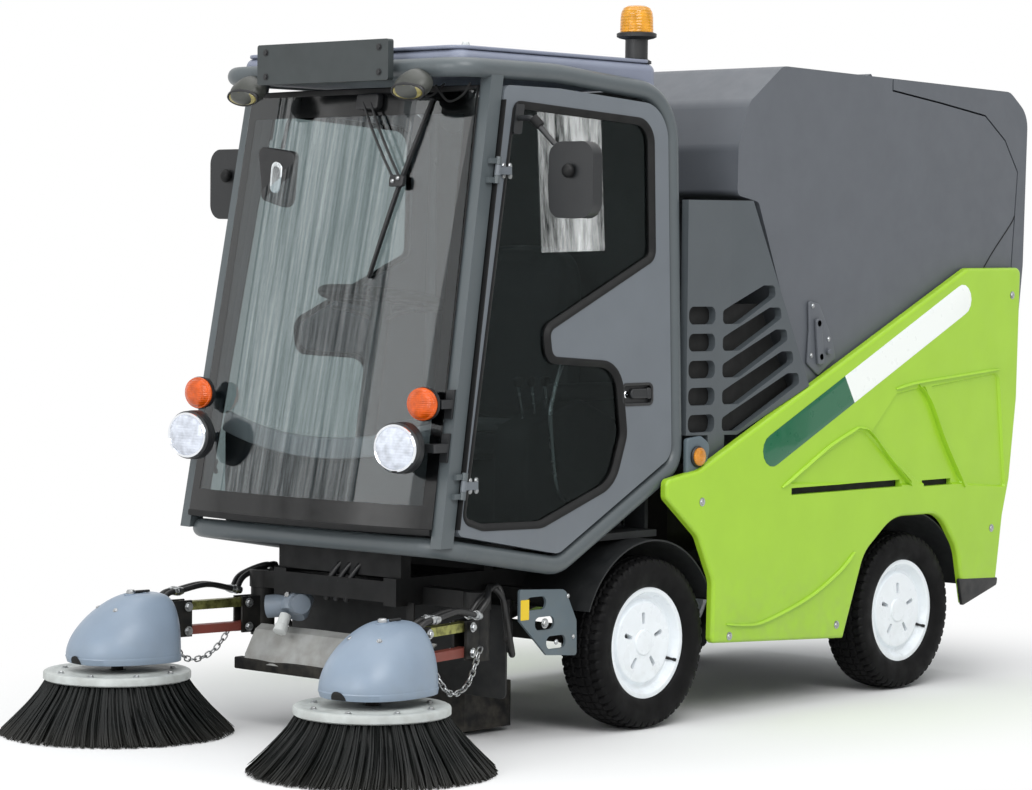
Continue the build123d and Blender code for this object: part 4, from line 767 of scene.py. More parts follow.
def screen_half(z):
    """Half the screen's width at a height."""
    return SCREEN_WIDE + (SCREEN_NARROW - SCREEN_WIDE) * (z - SCREEN_LOW) / (SCREEN_TOP - SCREEN_LOW)


def screen_y(x, z):
    """The screen's outer face: bowed forward in the middle, leaning back towards the roof."""
    return post_y(z) - SCREEN_AHEAD - SCREEN_BOW * (1 - (x / screen_half(z)) ** 2)


def on_screen(x, z, height):
    """Places for an outline (X, Z) at a height off the screen, with the screen's own bow."""
    return x + 0 * z, screen_y(x, z) - height, z + 0 * x


def make_window_trim(sizes):
    """The rubber round each door's window, and the strip down the door's front edge."""
    outline = resampled(rounded(WINDOW, 10), 420)
    width = sizes.gasket
    section = [(-0.30 * width, 0.0238), (-0.30 * width, 0.0262), (-0.1 * width, 0.0275),
               (0.25 * width, 0.0262), (0.55 * width, 0.0215), (width, 0.0170), (width, 0.0122),
               (0.0, 0.0122)]
    gasket = rim_of(outline, section, cab_side)
    piece_pair("window_seal", [gasket], "rubber", "door_{}", sharp=50)
    z = np.linspace(0.640, 1.840, 30)
    line = np.stack(cab_side(post_y(z) + 0.030, z, 0.0245), -1)
    strip = carried(line, box_outline(0.003, 0.022, 0.001), LEFT)
    piece_pair("door_seal", [strip], "rubber", "door_{}")


def make_screen_trim():
    """The printed band round the screen's edge, and the seals below and above it."""
    level = np.array([0.0004, 0.0004, 0.0012, 0.0012])[None]

    def band(x, z):
        return grid(np.stack([x, screen_y(x, z) - level, z + 0 * x], -1), wrap_v=True)

    z = np.linspace(BAND_LOW, BAND_TOP, 60)[:, None]
    inset = np.array([-0.004, BAND_WIDE, BAND_WIDE, -0.004])[None]
    bands = [band(sign * (screen_half(z) - inset), z) for sign in (1, -1)]
    wide = np.linspace(-1, 1, 60)[:, None]
    for low, high in ((BAND_LOW, 0.706), (1.800, BAND_TOP)):
        height = np.array([low, high, high, low])[None]
        bands.append(band(wide * (screen_half(height) - 0.004), height))
    piece("screen_bands", bands, "band")
    seals = []
    for height in (SCREEN_LOW, SCREEN_TOP):
        x = np.linspace(-1, 1, 40) * screen_half(height)
        line = np.stack([x, screen_y(x, height) + 0.002, height + 0 * x], -1)
        seals.append(carried(line, box_outline(0.016, 0.018, 0.004), UP))
    piece("screen_seals", seals, "rubber")


def make_wiper():
    """Two parallel arms from a spindle block to a blade that follows the glass."""
    def at(x, z, off):
        return np.array([x, screen_y(x, z) - off, z])

    pins = [(0.075, 1.838), (0.105, 1.836)]
    ends = [(0.232, 1.610), (0.250, 1.618)]
    arms = []
    for (x0, z0), (x1, z1) in zip(pins, ends):
        t = np.linspace(0, 1, 14)[:, None]
        x, z = x0 + (x1 - x0) * t, z0 + (z1 - z0) * t
        y = screen_y(x, z) - 0.024 - 0.006 * np.sin(np.pi * t)
        arms.append(carried(np.concatenate([x, y, z], 1), box_outline(0.0075, 0.005, 0.0015), AHEAD))
    head = slab(box_outline(0.050, 0.034, 0.008, (0.241, 1.611)), 0.014, 0.030, 0.003, on_screen)
    motor = slab(box_outline(0.085, 0.045, 0.01, (0.090, 1.840)), 0.002, 0.026, 0.004, on_screen)
    pts = np.array([at(x, z, 0.010) for x, z in ((0.315, 1.842), (0.278, 1.72), (0.242, 1.605), (0.205, 1.47),
                                                 (0.170, 1.335))])
    blade = carried(through(pts, 40), box_outline(0.010, 0.014, 0.002), AHEAD,
                    scale=0.55 + 0.45 * np.sin(np.linspace(0.15, np.pi - 0.15, 40)))
    rubber = carried(through(pts + np.array([0, 0.006, 0]), 40), box_outline(0.004, 0.008, 0.001), AHEAD)
    caps = [turned([(0, 0), (0.006, 0), (0.006, 0.004), (0.0035, 0.007), (0, 0.0075)],
                   at(x, z, 0.030), AHEAD, 16) for x, z in ends]
    piece("wiper", arms + [head, motor, blade, rubber], "black")
    piece("wiper_pins", caps, "bolt")


def make_hinge_bolts(sizes):
    """Four bolt heads on each of the door's two hinge plates."""
    spots = [cab_side(post_y(z) + 0.028 + dy, z + dz, DOOR_FACE + sizes.hinge_plate)
             for z in HINGE_ROWS for dy in (0.034, 0.060) for dz in (-0.014, 0.014)]
    piece_pair("hinge_bolts", bolts(spots, CAB_NORMAL, 0.0065, 0.004), "bolt", "door_{}")


def make_handles():
    """Paddle handles in the door recesses: black bowl, lever and lock."""
    bowl = slab(box_outline(0.134, 0.060, 0.014, HANDLE), 0.0122, 0.0150, 0.001, cab_side)
    frame_ring = rim_of(resampled(box_outline(0.142, 0.068, 0.018, HANDLE), 120), [(0, 0.0205), (0, 0.0262),
                                                                                   (0.004, 0.0275),
                                                                                   (0.008, 0.0255),
                                                                                   (0.008, 0.0135),
                                                                                   (0.0, 0.0135)], cab_side)
    lever = slab(box_outline(0.082, 0.030, 0.012, (-0.296, 0.999)), 0.0150, 0.0265, 0.004, cab_side)
    grip = slab(box_outline(0.018, 0.034, 0.006, (-0.257, 0.999)), 0.0150, 0.0285, 0.004, cab_side)
    lock = turned([(0, 0), (0.011, 0), (0.011, 0.004), (0.009, 0.006), (0.0015, 0.006), (0.0015, 0.003),
                   (0, 0.003)], cab_side(-0.352, 0.997, 0.0150), CAB_NORMAL, 32)
    piece_pair("handle_bowl", [bowl, frame_ring], "black", "door_{}")
    piece_pair("handle_lever", [lever, grip], "pod", "door_{}", slot="black_plastic")
    piece_pair("handle_lock", [lock], "chrome", "door_{}")


def make_mirror_details():
    """Glass on the mirrors' rear faces, ball joints and clamp collars on their arms."""
    glass = slab(box_outline(0.140, 0.190, 0.036, (0.698, 1.615)), 0.0, 0.0012, 0.0005,
                 facing_rear(-0.7762))
    ball = turned([(0, 0.0), (0.016, 0.001), (0.020, 0.006), (0.020, 0.012), (0.016, 0.019), (0.009, 0.023),
                   (0, 0.024)], (0.698, -0.818, 1.640), AHEAD, 28)
    collar = turned([(0, -0.016), (0.013, -0.016), (0.014, -0.013), (0.014, 0.013), (0.013, 0.016),
                     (0, 0.016)], (0.575, -0.821, 1.778), unit(np.array([0.6, 0.22, -0.68])), 24)
    piece_pair("mirror_glass", [glass], "mirror", "door_{}")
    piece_pair("mirror_ball", [ball, collar], "rubber", "door_{}")


def make_cab_fittings():
    """Inside the cab: room mirror, visor, speaker pod, console with levers, hooked rod, dash edge, stalks
    and pedals."""
    room_mirror = slab(rounded([(-0.345, 1.56, 0.02), (-0.225, 1.53, 0.03), (-0.205, 1.70, 0.02),
                                (-0.365, 1.72, 0.02)]), 0.985, 1.010, 0.006, facing_front)
    eye = slab(resampled(rounded([(-0.310, 1.585, 0.02), (-0.262, 1.575, 0.02), (-0.255, 1.665, 0.02),
                                  (-0.300, 1.68, 0.02)]), 40), 1.010, 1.0125, 0.001, facing_front)
    stalk = carried(through([(-0.28, -0.985, 1.71), (-0.27, -0.965, 1.80), (-0.25, -0.93, 1.875)], 12),
                    circle(0.006, 10), LEFT)
    visor = slab(box_outline(0.80, 0.060, 0.02, (0, 1.848)), 0.912, 0.930, 0.006, facing_front)
    pod = turned([(0, -0.020), (0.045, -0.020), (0.055, -0.010), (0.055, 0.012), (0.040, 0.022), (0, 0.024)],
                 (0.345, -0.905, 1.800), AHEAD, 32)
    piece("room_mirror", [room_mirror, stalk], "black", slot="interior")
    piece("room_mirror_glass", [eye], "mirror")
    piece("visor", [visor], "dark")
    piece("speaker_pod", [pod], "black", slot="interior")

    console = slab(rounded([(-0.66, 0.586, 0.01), (-0.20, 0.586, 0.01), (-0.20, 0.900, 0.05),
                            (-0.42, 0.985, 0.06), (-0.66, 0.900, 0.05)]), 0.262, 0.400, 0.018, facing_x)
    pad = slab(box_outline(0.30, 0.050, 0.02, (-0.33, 1.000)), 0.290, 0.380, 0.014, facing_x)
    knobs, stems = [], []
    for k, y in enumerate((-0.60, -0.545, -0.49)):
        base, top = np.array([0.33, y, 0.925]), np.array([0.33 + 0.004 * k, y - 0.02, 1.02])
        stems.append(carried(np.linspace(base, top, 4), circle(0.004, 8), LEFT))
        knobs.append(turned([(0, 0), (0.010, 0.002), (0.015, 0.014), (0.013, 0.026), (0, 0.031)], top,
                            unit(top - base), 20))
    piece("console", [console, pad] + knobs, "interior")
    rod = carried(through([(0.452, -0.560, 1.105), (0.452, -0.600, 1.010), (0.456, -0.620, 0.930),
                           (0.458, -0.600, 0.760), (0.458, -0.575, 0.705), (0.458, -0.545, 0.690)], 40),
                  circle(0.0065, 12), LEFT)
    piece("hooked_rod", [rod] + stems, "rod")
    x = np.linspace(-0.43, 0.43, 50)
    sag = np.stack([x, -1.060 - 0.030 * (1 - (x / 0.43) ** 2), 0.905 - 0.060 * (1 - (x / 0.43) ** 2)], -1)
    band = carried(sag, rounded([(-0.012, -0.030, 0.004), (0.012, -0.030, 0.004), (0.012, 0.030, 0.008),
                                 (-0.012, 0.030, 0.008)], 4), UP)
    piece("dash_edge", [band], "trim")
    stalks = [carried(through([(s * 0.035, -0.862, 1.215), (s * 0.10, -0.872, 1.235),
                               (s * 0.17, -0.880, 1.245)], 12), circle(0.006, 10), UP) for s in (1, -1)]
    piece("column_stalks", stalks, "black")

    def leaning(a, b, h):
        return a + 0 * b, -0.90 + 0.5 * b - 0.86 * h + 0 * a, 0.66 + 0.86 * b + 0.5 * h + 0 * a

    pedals = [slab(box_outline(0.075, 0.12, 0.01, (x, 0.0)), 0.0, 0.012, 0.003, leaning)
              for x in (0.11, -0.11)]
    piece("pedals", pedals, "rubber", slot="interior")


def cushion_surface(low, high, rows, seams):
    """Rounded box: each axis is |sine or cosine| ^ 0.42, thinner by a twentieth along rows of seams."""
    low, high = np.array(low), np.array(high)
    middle, half = (low + high) / 2, (high - low) / 2
    u = np.linspace(0, np.pi, rows)[:, None]
    v = np.linspace(0, 2 * np.pi, 2 * rows, endpoint=False)[None, :]

    def bend(value):
        return np.sign(value) * np.abs(value) ** 0.42

    points = np.stack([bend(np.sin(u)) * bend(np.cos(v)), bend(np.sin(u)) * bend(np.sin(v)),
                       bend(np.cos(u)) * np.ones_like(v)], -1)
    along, thin = (1, 2) if half[2] < half[1] else (2, 1)
    dip = sum(0.05 * np.exp(-((points[..., along] - s) / 0.03) ** 2) for s in seams)
    shape = points * half
    shape[..., thin] *= 1 - dip
    return grid(middle + shape, wrap_v=True)




PUFF_FRAMES, MOST_PUFF = 12, 0.006


def settled(cushion):
    """Puffs a cushion with a short cloth run and keeps the result as its mesh."""
    start = np.zeros(len(cushion.data.vertices) * 3, np.float32)
    cushion.data.vertices.foreach_get("co", start)
    cloth = cushion.modifiers.new("puff", "CLOTH")
    cloth.settings.quality = 4
    cloth.settings.use_pressure = True
    cloth.settings.uniform_pressure_force = 2.0
    cloth.settings.tension_stiffness = 40
    cloth.settings.compression_stiffness = 40
    cloth.settings.effector_weights.gravity = 0
    scene = bpy.context.scene
    for number in range(1, PUFF_FRAMES + 1):
        scene.frame_set(number)
    shape = cushion.evaluated_get(bpy.context.evaluated_depsgraph_get())
    end = np.zeros_like(start)
    shape.data.vertices.foreach_get("co", end)
    cushion.modifiers.clear()
    scene.frame_set(1)
    move = (end - start).reshape(-1, 3)
    far = np.linalg.norm(move, axis=1, keepdims=True)
    move *= np.minimum(1, MOST_PUFF / np.maximum(far, 1e-9))
    cushion.data.vertices.foreach_set("co", (start.reshape(-1, 3) + move).astype(np.float32).ravel())
    cushion.data.update()


def make_seat():
    """Upholstered seat: padded cushion and back with sewn rows, on the CAD plinth."""
    cushion = piece("seat_cushion", [cushion_surface((-0.235, -0.670, 0.8008), (0.235, -0.200, 0.900), 56,
                                                     (-0.45, 0.0, 0.45))], "seat", sharp=80)
    back = piece("seat_back", [cushion_surface((-0.225, -0.292, 0.9010), (0.225, -0.190, 1.430), 56,
                                               (-0.5, -0.1, 0.3))], "seat", sharp=80)
    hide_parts("seat_cushions")
    for made in (cushion, back):
        settled(made)
    piping = rim_of(resampled(box_outline(0.45, 0.45, 0.09, (0, -0.435), 8), 160),
                    circle(0.004, 8) + [0, 0.884], facing_up)
    piece("seat_piping", [piping], "rubber", slot="seat_fabric", sharp=80)


# ---- Hopper, grilles, panels ---------------------------------------------------------------------
# The outer faces of the panels, hopper and side plates, and the middle of a side repeater's foot.
PANEL_X, HOPPER_X, SIDE_PLATE_X, REPEATER = 0.566, 0.532, 0.5062, (0.547, -0.052, 0.805)
# The ends (Y, Z) of the stripe's middle line.
STRIPE = [(0.252, 0.790), (1.365, 1.293)]


def make_hopper_details():
    """Latch castings low on the hopper's sides, and a dark strip along the seam of its rear cheeks that is
    painted shade of the seam's groove.
    """
    latch = slab(rounded([(0.500, 1.075, 0.010), (0.560, 1.035, 0.010), (0.650, 1.090, 0.012),
                          (0.632, 1.150, 0.010), (0.560, 1.262, 0.012), (0.505, 1.272, 0.010),
                          (0.510, 1.180, 0.012)]), HOPPER_X + 0.0002, HOPPER_X + 0.010, 0.004, facing_x)
    arm = slab(rounded([(0.545, 1.070, 0.006), (0.575, 1.070, 0.006), (0.560, 1.215, 0.010),
                        (0.530, 1.215, 0.010)]), HOPPER_X + 0.0095, HOPPER_X + 0.022, 0.004, facing_x)
    bosses = [turned([(0, 0), (r, 0), (r, 0.010), (r - 0.003, 0.013), (0, 0.013)], (HOPPER_X + 0.009, y, z),
                     LEFT, 20) for y, z, r in ((0.560, 1.095, 0.013), (0.546, 1.200, 0.013),
                                               (0.605, 1.110, 0.010))]
    piece("hopper_latches", [latch, arm] + bosses, "hopper", "hopper", both=True)
    spots = [(HOPPER_X + 0.0098, y, z) for y, z in ((0.610, 1.150), (0.520, 1.100), (0.525, 1.255))]
    piece("latch_screws", bolts(spots, LEFT, 0.006, 0.004), "bolt", "hopper", both=True)
    # Painted shade: a thin dark strip, a little proud, where the seam's groove lies in shadow.
    seam = np.array([(1.672, 1.555), (1.646, 1.524), (1.530, 1.420), (1.412, 1.296)])
    line = np.concatenate([np.full((4, 1), HOPPER_X + 0.0002), seam], 1)
    piece("cheek_seams", [carried(through(line, 40), box_outline(0.0045, 0.0030, 0.001), LEFT)], "rubber",
          "hopper", slot="hopper_grey", both=True)


# The raised ribs of the moulded panels, each a smooth line through (Y, Z).
PANEL_RIBS = [
    [(0.075, 0.290), (0.160, 0.281), (0.260, 0.284), (0.480, 0.340), (0.640, 0.410), (0.730, 0.470)],
    [(0.345, 0.694), (0.470, 0.756), (0.600, 0.818), (0.742, 0.868)],
    [(0.742, 0.868), (0.805, 0.852), (0.900, 0.775), (1.040, 0.668)],
    [(0.945, 0.985), (1.060, 1.002), (1.300, 1.020), (1.540, 1.038)],
    [(1.075, 0.995), (1.140, 0.940), (1.230, 0.800), (1.345, 0.650)],
]


def make_panel_details(sizes):
    """Each panel's screws with their washers, blank stripe, ribs, tail guard, and near-black sheets behind
    the vents that paint their shade.
    """
    seats = ((-0.048, 0.669), (1.614, 1.287), (0.091, 0.253), (0.639, 0.245), (1.509, 0.504))
    screw = [(0, 0), (0.013, 0), (0.013, 0.0015), (0.009, 0.0022), (0.008, 0.0045), (0.005, 0.006),
             (0, 0.0062)]
    screws = [turned(screw, (PANEL_X - 0.0002, y, z), LEFT, 24) for y, z in seats]
    piece("panel_screws", screws, "bolt", both=True)
    start, end = np.array(STRIPE)
    along, half = unit(end - start), sizes.stripe_width / 2
    across = np.array([-along[1], along[0]]) * half
    corners = (start - across, end - across, end + across, start + across)
    stripe = slab(resampled(rounded([(*c, half - 0.0005) for c in corners], 10), 120),
                  PANEL_X + 0.0002, PANEL_X + 0.0008, 0.0003, facing_x)
    piece("panel_stripes", [stripe], "stripe", both=True)
    ridge = rounded([(-0.011, -0.002, 0.0005), (0.011, -0.002, 0.0005), (0.0035, 0.0045, 0.004),
                     (-0.0035, 0.0045, 0.004)], 4)
    scale = np.sqrt(np.clip(np.sin(np.linspace(0.12, np.pi - 0.12, 60)) * 3, 0, 1))
    ribs = [carried(through([(PANEL_X, y, z) for y, z in line], 60), ridge, UP, scale=scale)
            for line in PANEL_RIBS]
    piece("panel_ribs", ribs, "green", both=True, sharp=60)
    guard = slab(rounded([(1.345, 0.254, 0.006), (1.546, 0.310, 0.012), (1.550, 0.335, 0.006),
                          (1.322, 0.345, 0.006)]), 0.553, 0.5675, 0.003, facing_x)
    piece("tail_guards", [guard], "black", both=True)
    # Painted shade: near-black sheets just behind the vent reliefs, where the vents' inside lies in shadow.
    vent_shade_sheets = [slab(box_outline(width, height, 0.01, middle), 0.536, 0.541, 0.001, facing_x)
             for width, height, middle in ((0.56, 0.060, (0.700, 0.679)), (0.20, 0.055, (1.192, 0.672)))]
    piece("vent_backs", vent_shade_sheets, "dark", slot="body_green", both=True)


def make_intake_painted_shade():
    """Near-black sheets close behind the grille slots: painted shade for the intake's shadowed inside."""
    # Painted shade: a near-black sheet just behind the slots, where the intake's inside lies in shadow.
    skin = slab(rounded([(-0.080, 0.876, 0.01), (0.150, 0.872, 0.01), (0.455, 0.998, 0.01),
                         (0.300, 1.262, 0.02), (-0.080, 1.262, 0.01)]), 0.500, 0.503, 0.001, facing_x)
    piece("intake_skins", [skin], "dark", both=True)


def make_side_gear():
    """Blank yellow label and bolts on the side plates, and side repeaters on light brackets."""
    label = slab(box_outline(0.036, 0.058, 0.002, (-0.776, 0.392)), SIDE_PLATE_X, SIDE_PLATE_X + 0.0006,
                 0.0002, facing_x)
    piece("blank_labels", [label], "yellow", both=True)
    heads = []
    for y, z, r in ((-0.640, 0.290, 0.006), (-0.690, 0.348, 0.011), (-0.590, 0.420, 0.005),
                    (-0.565, 0.300, 0.005)):
        heads += bolt((SIDE_PLATE_X - 0.0002, y, z), LEFT, r, 0.7 * r)
    piece("side_plate_bolts", heads, "bolt", both=True)
    bracket = slab(rounded([(-0.100, 0.700, 0.012), (-0.020, 0.720, 0.02), (0.015, 0.840, 0.03),
                            (-0.030, 0.866, 0.012), (-0.100, 0.860, 0.012)]), 0.530, 0.548, 0.006, facing_x)
    base = turned([(0, 0), (0.032, 0), (0.032, 0.006), (0.029, 0.010), (0, 0.010)], REPEATER, LEFT, 36)
    lens = turned([(0, 0.009), (0.0275, 0.009), (0.0270, 0.014), (0.0215, 0.0185), (0.010, 0.0205),
                   (0, 0.0208)], REPEATER, LEFT, 36)
    piece("repeater_brackets", [bracket], "plate", both=True)
    piece("repeater_bases", [base], "black", both=True)
    piece("repeater_lenses", [lens], "repeater", both=True)


# ---- Sweeping gear -------------------------------------------------------------------------------
# The brush arm runs from the swing's axis to the brush's own; its pins stand this far along it.
SWING = np.array([0.440, -0.905])
ARM = unit(np.array(BRUSH_AT) - SWING)
ACROSS = np.array([-ARM[1], ARM[0]])
REAR_PINS, FRONT_PINS, PIN_ROWS, CHEEK_OUT, HOSE_R = 0.072, 0.287, (0.357, 0.285), 0.034, 0.0085


def on_arm(along, across, z):
    """A place along the brush arm, across it to the outside, and up."""
    along, across, z = np.broadcast_arrays(np.asarray(along, float), across, z)
    return np.stack([SWING[0] + along * ARM[0] + across * ACROSS[0],
                     SWING[1] + along * ARM[1] + across * ACROSS[1], z + 0.0], -1)


def make_link_bolts():
    """Hexagon heads on both ends of the four link pins."""
    outward = np.append(ACROSS, 0)
    for along, body in ((REAR_PINS, "brush_swing_{}"), (FRONT_PINS, "brush_head_{}")):
        heads = []
        for z in PIN_ROWS:
            for sign in (1, -1):
                heads += bolt(on_arm(along, sign * CHEEK_OUT, z), sign * outward, 0.0105, 0.008)
        piece_pair("pin_bolts_" + body.split("_")[1], heads, "bolt", body)


# The brush cover's foot, top and tail, and its rings from foot to top: share of its height, nose,
# half its width and how far its tail leans in.
COVER_LOW, COVER_TOP, COVER_TAIL = 0.210, 0.403, 0.048
COVER_RINGS = np.array([(0.0, 0.366, 0.140, 0), (0.1, 0.372, 0.145, 0), (0.26, 0.366, 0.143, 0),
                        (0.46, 0.344, 0.134, 0), (0.64, 0.312, 0.119, 0.002), (0.79, 0.276, 0.100, 0.006),
                        (0.9, 0.240, 0.080, 0.014), (0.97, 0.208, 0.060, 0.028), (1.0, 0.184, 0.042, 0.044)])


def on_cover(level, turn, lift=0.0):
    """A place on the brush cover: share of its height, angle from the nose, and height off its skin."""
    def skin(level, turn):
        nose, half, lean = (np.interp(level, COVER_RINGS[:, 0], COVER_RINGS[:, k]) for k in (1, 2, 3))
        tail = COVER_TAIL + lean
        middle = 0.56 * tail + 0.44 * nose
        c, s = np.cos(turn), np.sin(turn)
        along = np.where(c > 0, np.abs(c) ** 0.9 * (nose - middle), np.abs(c) ** 0.6 * (tail - middle))
        across = np.sign(s) * np.abs(s) ** 0.84 * half
        return on_arm(FRONT_PINS + middle + along, across, COVER_LOW + (COVER_TOP - COVER_LOW) * level)

    level, turn = np.broadcast_arrays(np.asarray(level, float), np.asarray(turn, float))
    spot, step = skin(level, turn), 0.01
    upward = skin(level + step, turn) - skin(level - step, turn)
    out = np.cross(skin(level, turn + step) - skin(level, turn - step), upward)
    out /= np.maximum(np.linalg.norm(out, axis=-1, keepdims=True), 1e-12)
    return spot + out * np.asarray(lift, float)[..., None], out


def make_cover_details():
    """Lip, knob and lever in the slot over a near-black well, screws on the slope, rim band and a near-black
    nose notch of each brush cover; the well and notch are painted shade.
    """
    def top(a, c, h):
        spot = on_arm(0.451 + a, c, COVER_TOP + h)
        return spot[..., 0], spot[..., 1], spot[..., 2]

    # The well: a near-black floor deep in the slot, painted shade.
    well = slab(resampled(box_outline(0.068, 0.032, 0.0155, (0, 0)), 60), -0.030, -0.028, 0.0005, top)
    lip = rim_of(resampled(box_outline(0.074, 0.038, 0.0185, (0, 0)), 90),
                 [(0, -0.003), (0, 0.0008), (0.0025, 0.0016), (0.005, 0.0006), (0.005, -0.003)], top)
    lever = slab(box_outline(0.050, 0.010, 0.004, (-0.030, 0.010)), 0.0012, 0.008, 0.002, top)
    knob = turned([(0, -0.028), (0.009, -0.028), (0.009, -0.002), (0.0135, 0.0), (0.0135, 0.008),
                   (0.010, 0.012), (0, 0.013)], on_arm(0.466, 0.0, COVER_TOP), UP, 24)
    screws = [part for turn in (0.45, -0.45) for part in bolt(*on_cover(0.80, turn, -0.0015), 0.0065, 0.005)]
    around = np.linspace(-np.pi, np.pi, 121)[:-1, None]
    level = np.array([0.008, 0.008, 0.090, 0.105, 0.105])[None]
    lift = np.array([-0.001, 0.0022, 0.0022, 0.0005, -0.001])[None]
    band, _ = on_cover(level + 0 * around, around + 0 * level, lift + 0 * around)
    # The notch: a near-black arch laid just proud of the nose, painted shade of a recess.
    arch = np.linspace(0, np.pi, 25)
    span = np.linspace(0, 1, 7)[None]
    notch, _ = on_cover(0.010 + 0.115 * np.sin(arch)[:, None] * span, -0.05 + 0.125 * np.cos(arch)[:, None],
                        0.0028)
    piece_pair("cover_well", [well], "dark", "brush_head_{}", slot="black_plastic")
    piece_pair("cover_lip", [lip, grid(band, wrap_u=True)], "cover", "brush_head_{}")
    piece_pair("cover_lever", [lever], "black", "brush_head_{}")
    piece_pair("cover_notch", [grid(notch)], "dark", "brush_head_{}", slot="black_plastic")
    piece_pair("cover_screws", screws + [knob], "bolt", "brush_head_{}")


def hose(path):
    """A hydraulic hose along a path."""
    return carried(path, circle(HOSE_R, 14), (0.3, 0.2, 1))


def make_hoses():
    """Two hydraulic hoses per brush: looped by the frame, along the upper link, then into the cover.

    The three runs meet at couplings over the link's pins, where the arm's parts turn."""
    for k in range(2):
        gap = 0.026 * k
        rear, front = on_arm(0.078, 0.052 - gap, 0.392), on_arm(0.287, 0.050 - gap, 0.398)
        loop = through([rear, on_arm(0.040, 0.060 - gap, 0.432), (0.456, -0.870 + gap, 0.462),
                        (0.470, -0.830, 0.425), (0.466 - 0.3 * gap, -0.800, 0.330),
                        (0.450 - gap, -0.765, 0.262 + gap), (0.415, -0.735, 0.268), (0.392, -0.715, 0.335),
                        (0.375, -0.700, 0.405)], 110)
        along = through([rear, on_arm(0.180, 0.056 - gap, 0.412), front], 30)
        nose = through([front, on_arm(0.318, 0.046 - gap, 0.396), on_arm(0.350, 0.040 - gap, 0.380)], 16)
        pair_loop = piece_pair(f"hose_loop_{k}", [hose(loop)], "hose", "")
        for name, path, body in (("along", along, "brush_upper_link_{}"), ("nose", nose, "brush_head_{}")):
            piece_pair(f"hose_{name}_{k}", [hose(path)], "hose", body)
        for made, (side, sign) in zip(pair_loop, SIDES):
            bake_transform(made)
        for name, body, run in (("rear", "brush_upper_link_{}", along[0:2]),
                                ("front", "brush_head_{}", nose[0:2])):
            ring = turned([(0, -0.016), (0.0105, -0.016), (0.0115, -0.012), (0.0115, -0.004),
                           (0.0135, -0.004), (0.0135, 0.005), (0.0115, 0.005), (0.0115, 0.013),
                           (0.0105, 0.017), (0, 0.017)], run[0], run[1] - run[0], 18)
            piece_pair(f"hose_coupling_{name}_{k}", [ring], "bolt", body)


def chain(points, wire, length, wide):
    """Oval links along a line, each turned a quarter from the one before."""
    points = np.asarray(points, float)
    run = np.concatenate([[0], np.cumsum(np.linalg.norm(np.diff(points, axis=0), axis=1))])
    count = int(run[-1] / (length - 2.2 * wire))
    parts = []
    loop = resampled(box_outline(length, wide, wide / 2.01), 20)
    for k in range(count):
        at = run[-1] * (k + 0.5) / count
        spot = np.array([np.interp(at, run, points[:, i]) for i in range(3)])
        ahead = np.array([np.interp(min(at + 0.01, run[-1]), run, points[:, i]) for i in range(3)])
        along = unit(ahead - spot + 1e-9)
        side, other = frame_of(along)
        if k % 2:
            side, other = other, side
        path = spot + loop[:, :1] * along + loop[:, 1:] * side
        parts.append(carried(path, circle(wire, 6), other, closed=True))
    return parts


def make_chains():
    """Slack lift chains from each brush head back to its swing bracket."""
    slack = through([on_arm(0.300, 0.052, 0.262), on_arm(0.230, 0.062, 0.190), on_arm(0.140, 0.062, 0.205),
                     on_arm(0.060, 0.052, 0.300)], 40)
    piece_pair("lift_chain", chain(slack, 0.0024, 0.024, 0.015), "bolt", "brush_swing_{}", sharp=60)


